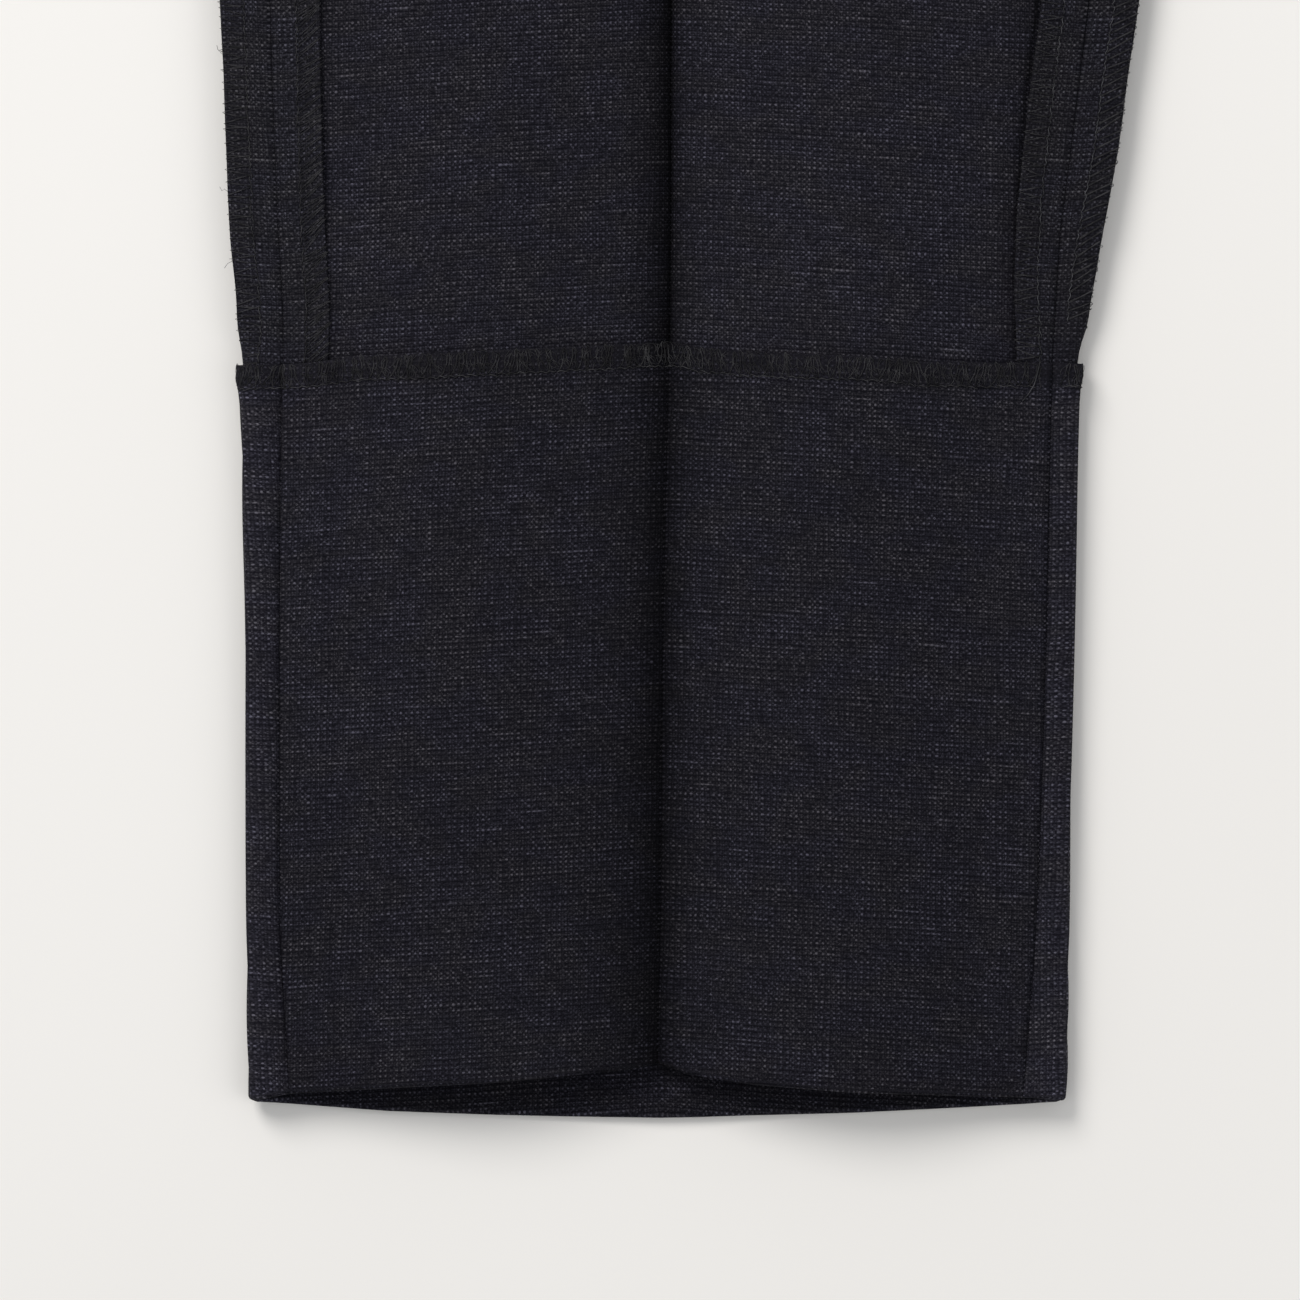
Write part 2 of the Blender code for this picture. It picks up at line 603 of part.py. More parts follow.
def block(name, size, centre, bevel, finish):
    """A small block with softened edges."""
    shape = bmesh.new()
    bmesh.ops.create_cube(shape, size=1.0)
    bmesh.ops.scale(shape, vec=size, verts=shape.verts)
    bmesh.ops.bevel(shape, geom=shape.edges[:], offset=bevel, segments=1, affect="EDGES")
    bmesh.ops.translate(shape, vec=centre, verts=shape.verts)
    corners = [tuple(vert.co) for vert in shape.verts]
    faces = [tuple(vert.index for vert in face.verts) for face in shape.faces]
    shape.free()
    make_object(name, corners, faces, finish)


# The slider closes the chain at its top, and its tab lies folded down on the chain
CHAIN_X = -(GAP + FRONT_EDGE_IN[2] + FRONT_EDGE_IN[3]) / 2
SLIDER_SIZE = (8.0, SLIDER_LENGTH, SLIDER_THICK)
TAB_SIZE = (4.6, 22.0, TAB_THICK)
SLIDER_BEVEL = 0.8
TAB_BEVEL = 0.3
slider_y = CHAIN_TOP + GAP + SLIDER_LENGTH / 2
tab_y = CHAIN_TOP - TAB_SIZE[1] / 2
front_z = np.interp(CHAIN_X, front[0, :, 0], front[0, :, 2])
block("zip_slider", SLIDER_SIZE, (CHAIN_X, slider_y, front_z + SLIDER_LOW + SLIDER_THICK / 2),
      SLIDER_BEVEL, brass)
block("zip_tab", TAB_SIZE, (CHAIN_X, tab_y, front_z + TAB_LOW + TAB_THICK / 2), TAB_BEVEL, brass)

# Side pocket bags: two plies of pocketing that hang on the front from the band
BAG_THICK = 1.4
BAG_COLUMNS = slice(2, 8)
BAG_FAN = 765.0
BAG_HEM = (722.0, 707.0, 702.0, 705.0, 718.0, 748.0)
BAG_INSET = 0.4
bag_top = between_heights(front[:, BAG_COLUMNS], heights, BAG_FAN, WAIST - GAP)
bag_out = between_heights(front_out[:, BAG_COLUMNS], heights, BAG_FAN, WAIST - GAP)
end_rows = []
end_outs = []
for part in (0.5, 1.0):
    for grid, rows in ((front, end_rows), (front_out, end_outs)):
        column = BAG_COLUMNS.start
        cut = [at_heights(grid[:, [column + j]], heights, [BAG_FAN + part * (low - BAG_FAN)])[0, 0]
               for j, low in enumerate(BAG_HEM)]
        rows.append(cut)
bag = np.concatenate([bag_top, np.array(end_rows)])
bag_out = np.concatenate([bag_out, np.array(end_outs)])
bag[:, 0, 0] += BAG_INSET
on_both_legs("pocket_bag", *sheet(bag, bag_out, STRIP_LOW, STRIP_LOW + BAG_THICK), lining)

# The inner button, sewn through the underlap of the waistband
BUTTON_RADIUS = 7.0
BUTTON_THICK = 2.6
BUTTON_X = -31.0
BUTTON_SIDES = 20
BUTTON_BEVEL = 0.6


def button(name, centre):
    shape = bmesh.new()
    bmesh.ops.create_cone(shape, cap_ends=True, segments=BUTTON_SIDES, radius1=BUTTON_RADIUS,
                          radius2=BUTTON_RADIUS, depth=BUTTON_THICK)
    rims = [edge for edge in shape.edges if abs(edge.verts[0].co.z - edge.verts[1].co.z) < TINY]
    bmesh.ops.bevel(shape, geom=rims, offset=BUTTON_BEVEL, segments=1, affect="EDGES")
    bmesh.ops.translate(shape, vec=centre, verts=shape.verts)
    corners = [tuple(vert.co) for vert in shape.verts]
    faces = [tuple(vert.index for vert in face.verts) for face in shape.faces]
    shape.free()
    make_object(name, corners, faces, material("horn", HORN, 0.35))


button_z = section(WAIST)["z_out"] + UNDERLAP_LIFT + BAND_THICK / 2 + GAP + BUTTON_THICK / 2
button("waist_button", (BUTTON_X, WAIST + GAP + BAND / 2, button_z))
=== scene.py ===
import math

import bmesh
import bpy
import numpy as np
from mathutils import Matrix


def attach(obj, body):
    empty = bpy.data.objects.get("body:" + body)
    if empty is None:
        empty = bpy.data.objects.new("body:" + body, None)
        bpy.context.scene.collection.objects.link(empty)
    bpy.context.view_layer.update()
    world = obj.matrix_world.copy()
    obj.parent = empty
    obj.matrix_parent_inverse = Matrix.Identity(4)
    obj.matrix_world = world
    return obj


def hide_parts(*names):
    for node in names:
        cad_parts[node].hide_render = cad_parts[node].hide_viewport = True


# The looks of a pair of suit trousers, turned inside out and laid flat with the front up. The hems
# point to -Y and the waist to +Y. Each section makes one piece, or one group of like pieces. Lengths
# are in millimetres, heights run up the leg from the hem's corner, and cloth_mesh() and sewn() turn them
# into metres in the garment's frame.

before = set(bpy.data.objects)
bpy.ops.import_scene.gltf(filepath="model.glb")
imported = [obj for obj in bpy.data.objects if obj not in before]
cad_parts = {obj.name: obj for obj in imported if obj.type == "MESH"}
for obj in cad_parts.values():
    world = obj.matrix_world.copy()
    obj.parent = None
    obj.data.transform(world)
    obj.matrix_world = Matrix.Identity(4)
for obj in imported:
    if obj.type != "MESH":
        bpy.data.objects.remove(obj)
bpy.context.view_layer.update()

# Floor, light and camera
# A pale paper sweep, lit by a bright room and one soft lamp from the upper left. The camera looks
# straight down at the lower end of the left leg, as in the photograph.

PHOTO_WIDTH = 0.273
PHOTO_CENTRE = (-0.16658, -0.41850)
LENS_HEIGHT = 1.8
LENS_CLEAR = 0.005
SENSOR = 36.0
ROOM_COLOUR = (0.97, 0.985, 1.0, 1.0)
ROOM_STRENGTH = 0.56
LAMP_COLOUR = (1.0, 0.975, 0.94)
PAPER_DARK = (0.83, 0.815, 0.795)
PAPER_LIGHT = (0.85, 0.838, 0.82)
FLOOR_HALF = 4.0


def surface(name, roughness):
    """A material with one Principled shader, and that shader."""
    made = bpy.data.materials.new(name)
    made.use_nodes = True
    shader = made.node_tree.nodes["Principled BSDF"]
    shader.inputs["Roughness"].default_value = roughness
    return made, shader


def node(tree, kind, inputs=(), **settings):
    """A node with its settings. Each input is a value or another node's output."""
    made = tree.nodes.new(kind)
    for name, value in settings.items():
        setattr(made, name, value)
    for key, value in dict(inputs).items():
        if isinstance(value, bpy.types.NodeSocket):
            tree.links.new(value, made.inputs[key])
        else:
            made.inputs[key].default_value = value
    return made


def calc(tree, operation, *values):
    """The result of a Math node."""
    return node(tree, "ShaderNodeMath", enumerate(values), operation=operation).outputs[0]


def between(tree, value, low, high, to_low=0.0, to_high=1.0):
    """A value taken smoothly from one range to another."""
    ranged = {"Value": value, "From Min": low, "From Max": high, "To Min": to_low, "To Max": to_high}
    return node(tree, "ShaderNodeMapRange", ranged, interpolation_type="SMOOTHSTEP").outputs[0]


def blend(tree, share, first, second):
    """A colour between two colours."""
    mixed = node(tree, "ShaderNodeMix", {0: share, 6: first, 7: second}, data_type="RGBA")
    return mixed.outputs[2]


def tint(tree, shader, share, dark, light):
    """Gives a surface a colour between a dark and a light one."""
    tree.links.new(blend(tree, share, (*dark, 1.0), (*light, 1.0)), shader.inputs["Base Color"])


def room():
    world = bpy.data.worlds.new("bright_room")
    world.use_nodes = True
    background = world.node_tree.nodes["Background"]
    background.inputs["Color"].default_value = ROOM_COLOUR
    background.inputs["Strength"].default_value = ROOM_STRENGTH
    bpy.context.scene.world = world
    bpy.context.scene.view_settings.view_transform = "Standard"


def lamp(name, away, size, energy):
    """A round lamp that points at the middle of the photo's frame, from a place away from it."""
    light = bpy.data.lights.new(name, "AREA")
    light.shape = "DISK"
    light.size = size
    light.energy = energy
    light.color = LAMP_COLOUR
    holder = bpy.data.objects.new(name, light)
    aim = np.array(away)
    holder.location = (*(aim[:2] + PHOTO_CENTRE), aim[2])
    tilt = math.acos(aim[2] / np.linalg.norm(aim))
    holder.rotation_euler = (tilt, 0.0, math.atan2(aim[0], -aim[1]))
    bpy.context.scene.collection.objects.link(holder)


def floor():
    mesh = bpy.data.meshes.new("paper_floor")
    corners = [(x * FLOOR_HALF, y * FLOOR_HALF, 0.0) for x, y in ((-1, -1), (1, -1), (1, 1), (-1, 1))]
    mesh.from_pydata(corners, [], [(0, 1, 2, 3)])
    made = bpy.data.objects.new("paper_floor", mesh)
    bpy.context.scene.collection.objects.link(made)
    paper, shader = surface("pale_paper", 0.9)
    tree = paper.node_tree
    place = node(tree, "ShaderNodeTexCoord").outputs["Object"]
    cloud = node(tree, "ShaderNodeTexNoise", {"Vector": place, "Scale": 3.0, "Detail": 2.0})
    tone = between(tree, cloud.outputs["Fac"], 0.3, 0.7)
    tint(tree, shader, tone, PAPER_DARK, PAPER_LIGHT)
    shader.inputs["Specular IOR Level"].default_value = 0.1
    mesh.materials.append(paper)


def camera():
    lens = bpy.data.cameras.new("camera")
    lens.type = "PERSP"
    lens.sensor_width = SENSOR
    lens.lens = SENSOR * LENS_HEIGHT / PHOTO_WIDTH
    lens.clip_start = 0.05
    lens.clip_end = 50.0
    holder = bpy.data.objects.new("camera", lens)
    holder.location = (*PHOTO_CENTRE, LENS_HEIGHT + LENS_CLEAR)
    bpy.context.scene.collection.objects.link(holder)
    bpy.context.scene.camera = holder


room()
lamp("soft_lamp", (-1.04, 1.53, 1.50), 1.235, 40.6)
lamp("weak_lamp", (1.2, -0.3, 1.1), 1.2, 3.4)
floor()
camera()

# Front panels
# Dark navy hopsack-like wool suiting, wrong side out. Each panel is cut in one with a deep slanted hem
# that is turned up and pressed, and a sharp crease is pressed down its middle, a valley from this side.

# The cloth's thickness, the distance from one layer to the next, heights up the leg, the rise of the back
# at the waist, the band's depth, the middle of the garment's length, the depth of the turned-up hem and
# how far a panel's edge stays inside its seam
CLOTH = 0.7
LAYER = 1.3
CROTCH = 742.0
SEAT_START = 768.0
FLY_BOTTOM = 800.0
WAIST = 965.0
BACK_RISE = 27.0
BAND = 38.0
Y_MIDDLE = 513.35
TURN_UP = 152.4
SEAM_CLEAR = 0.05
LEGS = ((False, "left"), (True, "right"))

# One row for each height: the folds at the two sides of the leg, the crease, the insets of the seams
# from the folds, heights above the floor, the rolls beside the crease and the crease's depth
COLUMNS = ("height", "outer", "inner", "crease", "inset_out", "inset_in",
           "z_out", "z_in", "z_crease", "lobe", "groove")
SECTIONS = np.array([
    (0, -249.4, -80.6, -164.7, 7.2, 7.9, 5.5, 5.5, 6.8, 4.2, 2.9),
    (42, -249.8, -80.1, -164.1, 5.6, 5.3, 5.5, 5.5, 6.8, 4.2, 2.9),
    (105, -250.2, -78.9, -163.5, 6.0, 4.4, 5.5, 5.5, 6.8, 4.2, 2.9),
    (152, -251.2, -77.8, -162.5, 7.6, 4.6, 5.5, 5.5, 6.8, 4.2, 2.9),
    (165, -251.8, -76.2, -162.3, 8.3, 5.4, 5.5, 5.5, 6.8, 4.2, 3.1),
    (188, -253.3, -71.8, -162.1, 8.5, 8.0, 5.5, 5.5, 6.8, 4.2, 3.4),
    (231, -254.9, -65.8, -162.0, 8.6, 8.7, 5.5, 5.5, 6.8, 4.2, 3.6),
    (320, -258.5, -56.0, -160.0, 9.0, 9.0, 5.7, 5.6, 6.9, 4.1, 3.6),
    (420, -264.0, -45.5, -156.5, 9.0, 9.5, 6.0, 5.8, 7.0, 4.0, 3.6),
    (540, -272.0, -31.5, -151.5, 9.0, 10.2, 6.5, 6.1, 7.4, 4.0, 3.3),
    (640, -279.3, -16.5, -147.0, 9.0, 10.2, 7.1, 6.5, 7.9, 3.7, 2.8),
    (690, -281.4, -8.0, -144.3, 9.2, 8.6, 7.5, 6.8, 8.2, 3.4, 2.5),
    (720, -281.6, -3.6, -142.2, 9.4, 5.6, 7.8, 7.0, 8.4, 3.1, 2.3),
    (735, -281.2, -2.1, -141.0, 9.5, 3.0, 7.9, 7.2, 8.5, 3.0, 2.1),
    (742, -280.7, -0.8, -140.4, 9.6, 0.0, 8.0, 7.3, 8.6, 2.9, 2.0),
    (750, -280.0, 0.0, -139.7, 9.7, 0.0, 8.0, 7.4, 8.6, 2.8, 2.0),
    (765, -278.2, 0.0, -138.3, 9.8, 0.0, 8.1, 7.6, 8.8, 2.6, 1.8),
    (800, -272.5, 0.0, -134.6, 10.0, 0.0, 8.4, 8.1, 9.0, 2.2, 1.5),
    (850, -261.5, 0.0, -128.6, 10.0, 0.0, 8.9, 8.7, 9.4, 1.7, 1.1),
    (905, -245.5, 0.0, -120.6, 10.0, 0.0, 9.4, 9.4, 9.7, 1.0, 0.7),
    (965, -225.0, 0.0, -111.0, 10.0, 0.0, 10.0, 10.0, 10.0, 0.2, 0.2),
    (1003.3, -215.5, 0.0, -110.0, 10.0, 0.0, 10.0, 10.0, 10.0, 0.0, 0.0),
])

# Places across the leg from the crease, with the lift of the front hem and of the back hem there
HEM_EDGE = np.array([
    (-86.7, 0.1, 0.0), (-77.7, 1.7, -0.6), (-56.5, 3.0, -2.2), (-33.6, 4.3, -3.0),
    (-19.5, 5.6, -3.3), (-6.0, 6.9, -3.5), (0.0, 8.1, -3.6), (6.5, 5.8, -3.5),
    (18.7, 3.9, -3.1), (39.9, 2.2, -2.6), (64.0, 1.3, -1.4), (78.0, 0.9, -0.6), (85.7, 0.1, 0.0),
])
HEM_BLEND = 75.0
HEM_MIDDLE = -164.7
HEM_HALF = 86.0
HEM_SEAM = 77.7

# Places across the leg from the crease, with the height of the turned-up edge there
TURN_UP_EDGE = np.array([
    (-88.0, 154.7), (-74.7, 154.7), (-61.5, 156.4), (-48.1, 156.8), (-22.9, 158.2), (-2.9, 159.3),
    (2.1, 159.3), (6.9, 158.2), (17.2, 157.2), (40.1, 156.3), (50.6, 155.1), (87.4, 155.1),
])

# Where rows and columns of points lie: fine at the hem, the seams and the crease
ROWS = np.concatenate([np.arange(965.0, 244.0, -8.0), np.arange(242.0, 160.0, -3.0),
                       np.arange(158.0, 8.0, -3.0), [5.0, 3.0, 1.6, 1.0]])
TURNED_ROWS = 56
ROW_POINTS = 400
FRONT_SEAM = np.array([0, 0.25, 0.55, 1, 2, 3.5, 5, 6.5, 8, 9.2, 10, 10.8, 12, 14, 17.5])
CREASE_SIDE = np.array([-25, -20, -16, -12.5, -9.5, -7, -5, -3.6, -2.6, -1.85, -1.3, -0.85, -0.5, -0.2,
                        0, 0.2, 0.5, 0.85, 1.3, 1.85, 2.6, 3.6, 5, 7, 9.5, 12.5, 16, 21, 26])
BETWEEN = 7
ROW_TILT = math.tan(math.radians(3.3))
TURNED_START = 400.0


def smooth(value):
    value = np.clip(value, 0.0, 1.0)
    return value * value * (3 - 2 * value)


def curve_through(xs, ys, x):
    """A smooth curve through the points that never overshoots them."""
    step = np.diff(xs)
    slope = np.diff(ys) / step
    same = slope[:-1] * slope[1:] > 0
    weight_a = 2 * step[1:] + step[:-1]
    weight_b = step[1:] + 2 * step[:-1]
    mean = (weight_a + weight_b) / (weight_a / np.where(same, slope[:-1], 1.0)
                                    + weight_b / np.where(same, slope[1:], 1.0))
    tangent = np.concatenate([slope[:1], np.where(same, mean, 0.0), slope[-1:]])
    i = int(np.clip(np.searchsorted(xs, x) - 1, 0, len(step) - 1))
    t = (x - xs[i]) / step[i]
    a = (1 + 2 * t) * (1 - t) ** 2 * ys[i] + t * (1 - t) ** 2 * step[i] * tangent[i]
    return a + t * t * (3 - 2 * t) * ys[i + 1] + t * t * (t - 1) * step[i] * tangent[i + 1]


def section(height):
    """The sizes of the garment at one height, by name."""
    return {name: curve_through(SECTIONS[:, 0], SECTIONS[:, i], height)
            for i, name in enumerate(COLUMNS)}


def unevenness(x, y, size, seed):
    """Soft bumps from -1 to 1, about as far apart as the size, the same on every run."""
    table = np.random.default_rng(seed).random((64, 64)) * 2 - 1
    across, along = x / size[0], y / size[1]
    i, j = np.floor(across).astype(int), np.floor(along).astype(int)
    s, t = smooth(across - i), smooth(along - j)
    low = table[i % 64, j % 64] * (1 - s) + table[(i + 1) % 64, j % 64] * s
    high = table[i % 64, (j + 1) % 64] * (1 - s) + table[(i + 1) % 64, (j + 1) % 64] * s
    return low * (1 - t) + high * t


def unit(vectors):
    """The vectors at length 1."""
    return vectors / np.linalg.norm(vectors, axis=-1, keepdims=True)


def along(path):
    """Distance along a path from its first point."""
    return np.concatenate([[0.0], np.cumsum(np.linalg.norm(np.diff(path, axis=0), axis=1))])


def pick(path, places):
    """Points of a path at given distances along it."""
    distance = along(path)
    return np.stack([np.interp(places, distance, path[:, k]) for k in range(path.shape[1])], axis=1)


def places_across(length, crease_at, seam, crease_side):
    """Distances along a row: kept to both seams and to the crease, and even between them."""
    first = np.linspace(seam[-1], crease_at + crease_side[0], BETWEEN + 2)[1:-1]
    second = np.linspace(crease_at + crease_side[-1], length - seam[-1], BETWEEN + 2)[1:-1]
    return np.concatenate([seam, first, crease_at + crease_side, second, (length - seam)[::-1]])


def hem_slant(across, side, height):
    """How far the slanted hem moves a point along the leg."""
    lift = np.interp(across, HEM_EDGE[:, 0], HEM_EDGE[:, 1 if side == "front" else 2])
    return lift * (1 - smooth(height / HEM_BLEND))


# The valley's depth as a share of the section's groove: a wide soft part and a narrow steep one. The
# narrow one falls away faster on the inner side, and the valley's floor is a pinch.
WIDE_SHARE = 0.38
WIDE_FALL = 9.0
STEEP_SHARE = 0.95
STEEP_OUT = 2.8
STEEP_IN = 1.9
PINCH_DEPTH = 0.6
PINCH_WIDTH = 0.6

# How pale the cloth is drawn by the distance from the crease, above the hem, on the upper part of the
# turned-up hem and on its lower part. Painted shade darkens the crease, more on its outer side, and the lower
# part of the turned-up hem, and painted sheen lightens the sides.
PAINTED_SHADE_AND_SHEEN = np.array([
    (-90.0, 1.20, 1.30, 1.10), (-67.0, 1.20, 1.22, 1.08), (-45.0, 1.18, 1.10, 1.06),
    (-25.0, 1.16, 1.07, 1.02), (-17.0, 1.13, 1.02, 0.91), (-10.8, 1.05, 0.94, 0.74),
    (-6.6, 0.82, 0.72, 0.56), (-3.4, 0.46, 0.42, 0.35), (-1.4, 0.38, 0.40, 0.29),
    (-0.4, 0.36, 0.30, 0.24), (0.7, 0.41, 0.28, 0.24), (1.8, 0.68, 0.44, 0.40),
    (3.9, 0.96, 0.67, 0.64), (8.0, 1.15, 0.98, 0.96), (16.0, 1.20, 1.08, 1.05),
    (60.0, 1.20, 1.08, 1.03), (92.0, 1.18, 1.16, 1.08),
])

# The same on the back panel, by the distance from the seam: painted sheen lightens its folds at the sides,
# the inner fold more.
# Inside the hem it has no painted sheen and is drawn a little darker. Overlocking darkens the turned-up edge.
PAINTED_FOLD_SHEEN = np.array([(0.0, 1.20), (3.0, 1.32), (6.0, 1.60), (10.0, 1.75), (16.0, 1.5), (30.0, 1.15)])
INNER_FOLD_SHEEN = 1.14
INSIDE_HEM = 0.90
FRONT_EDGE_DARKER = 0.28
BACK_EDGE_DARKER = 0.45

# The painted shadow that the lifted free edge of the inner seam's allowance casts on the panel, a dark line,
# and
# the softer shade beside it: heights with the line's distance from the seam there
ALLOWANCE_SHADOW = np.array([(0.0, 7.0), (156.0, 7.2), (168.0, 8.2), (187.0, 9.5), (208.0, 10.7), (965.0, 11.0)])
SHADOW_LINE_SHARE = 0.55
SHADOW_LINE_WIDTH = 0.8
SHADE_SHARE = 0.22
SHADE_AWAY = 1.6
SHADE_WIDTH = 2.2


def valley(away):
    """The depth of the crease's valley by the distance from its middle, as a share of the groove."""
    fall = np.where(away < 0, STEEP_OUT, STEEP_IN)
    return WIDE_SHARE * np.exp(-np.abs(away) / WIDE_FALL) + STEEP_SHARE * np.exp(-np.abs(away) / fall)


def front_row(height):
    """Points of one row of the left front panel, and their distances from the outer seam."""
    here = section(height)
    left = here["outer"] + here["inset_out"] + SEAM_CLEAR
    right = here["inner"] - here["inset_in"] - SEAM_CLEAR
    x = np.unique(np.concatenate([np.linspace(left, right, ROW_POINTS), [here["crease"]]]))
    outer = x < here["crease"]
    t = np.where(outer, (x - left) / (here["crease"] - left), (right - x) / (right - here["crease"]))
    z_edge = np.where(outer, here["z_out"], here["z_in"])
    z = z_edge + (here["z_crease"] - z_edge) * t + here["lobe"] * np.sin(math.pi * t) ** 2
    z -= here["groove"] * valley(x - here["crease"])
    path = np.stack([x, z], axis=1)
    distance = along(path)
    crease_at = distance[np.searchsorted(x, here["crease"])]
    places = places_across(distance[-1], crease_at, FRONT_SEAM, CREASE_SIDE)
    row = pick(path, places)
    y = height + hem_slant(row[:, 0] - HEM_MIDDLE, "front", height)
    flat = np.stack([places, distance[-1] - places, places - crease_at], axis=1)
    return np.stack([row[:, 0], y, row[:, 1]], axis=1), flat


def facing(points, sign):
    """Unit normals of a grid of points."""
    down, across = np.gradient(points, axis=0), np.gradient(points, axis=1)
    return unit(sign * np.cross(down, across))


def at(grid, heights, wanted, columns=None):
    """Points of a grid at the wanted heights, which may differ from column to column."""
    columns = np.arange(grid.shape[1]) if columns is None else columns
    position = np.interp(wanted, heights[::-1], np.arange(len(heights))[::-1])
    first = np.minimum(position.astype(int), len(heights) - 2)
    part = (position - first)[..., None]
    return grid[first, columns] * (1 - part) + grid[first + 1, columns] * part


def cloth_mesh(name, points, normal, half, spread, finish, mirror=False, **masks):
    """A closed shell of cloth round a grid of points, in metres in the garment's frame.

    spread holds each point's place on the flat cloth, which the weave follows. Each mask is a share
    from 0 to 1 at each point, which the finish reads: stitched where overlocking hides the weave.
    Paleness, 1 unless it is given, scales the colour: lower where shade is painted in, and higher where the
    cloth is paler or sheen is painted in.
    """
    rows, cols = points.shape[:2]
    masks.setdefault("paleness", np.ones((rows, cols)))
    half = np.broadcast_to(np.asarray(half, float), (rows, cols))[..., None]
    corners = np.concatenate([(points - half * normal).reshape(-1, 3),
                              (points + half * normal).reshape(-1, 3)])
    if mirror:
        corners = corners * (-1.0, 1.0, 1.0)
    corners = (corners - (0.0, Y_MIDDLE, 0.0)) * 0.001
    index = np.arange(rows * cols).reshape(rows, cols)
    quads = np.stack([index[:-1, :-1], index[1:, :-1], index[1:, 1:], index[:-1, 1:]], axis=-1)
    quads = quads.reshape(-1, 4)
    rim = np.concatenate([index[0, ::-1], index[1:, 0], index[-1, 1:], index[-2:0:-1, -1]])
    rim = np.concatenate([rim, rim[:1]])
    count = rows * cols
    sides = np.stack([rim[:-1], rim[:-1] + count, rim[1:] + count, rim[1:]], axis=-1)
    faces = np.concatenate([quads, quads[:, ::-1] + count, sides])
    a, b, c = (corners[faces[:, k]] for k in range(3))
    d = corners[faces[:, 3]]
    middle = corners.mean(axis=0)
    volume = np.einsum("ij,ij->i", a - middle, np.cross(b - middle, c - middle)).sum()
    volume += np.einsum("ij,ij->i", a - middle, np.cross(c - middle, d - middle)).sum()
    if volume < 0:
        faces = faces[:, ::-1]
    mesh = bpy.data.meshes.new(name)
    mesh.from_pydata(corners.tolist(), [], faces.tolist())
    mesh.shade_smooth()
    uv = mesh.uv_layers.new(name="cloth")
    loops = np.empty(len(mesh.loops), int)
    mesh.loops.foreach_get("vertex_index", loops)
    flat = np.concatenate([spread.reshape(-1, 2), spread.reshape(-1, 2)]) * 0.001
    uv.data.foreach_set("uv", flat[loops].astype(np.float32).ravel())
    for mask, share in masks.items():
        held = mesh.attributes.new(mask, "FLOAT", "POINT")
        held.data.foreach_set("value", np.tile(share.ravel(), 2).astype(np.float32))
    mesh.materials.append(finish)
    made = bpy.data.objects.new(name, mesh)
    bpy.context.scene.collection.objects.link(made)
    return made


def dress(made, nodes):
    """Puts one piece on the root body and hides the solids it stands for."""
    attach(made, "root")
    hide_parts(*nodes)


# The spacing of the weave's dots across and along the leg
DOTS_ACROSS = 1.155
DOTS_ALONG = 1.10


def group(name, kind, inputs, outputs):
    """A node group with named inputs and outputs, and the outputs of its input node."""
    tree = bpy.data.node_groups.new(name, kind)
    for direction, sockets in (("INPUT", inputs), ("OUTPUT", outputs)):
        for socket_name, socket_kind, *value in sockets:
            socket = tree.interface.new_socket(socket_name, in_out=direction,
                                               socket_type=f"NodeSocket{socket_kind}")
            if value:
                socket.default_value = value[0]
    return tree, tree.nodes.new("NodeGroupInput").outputs


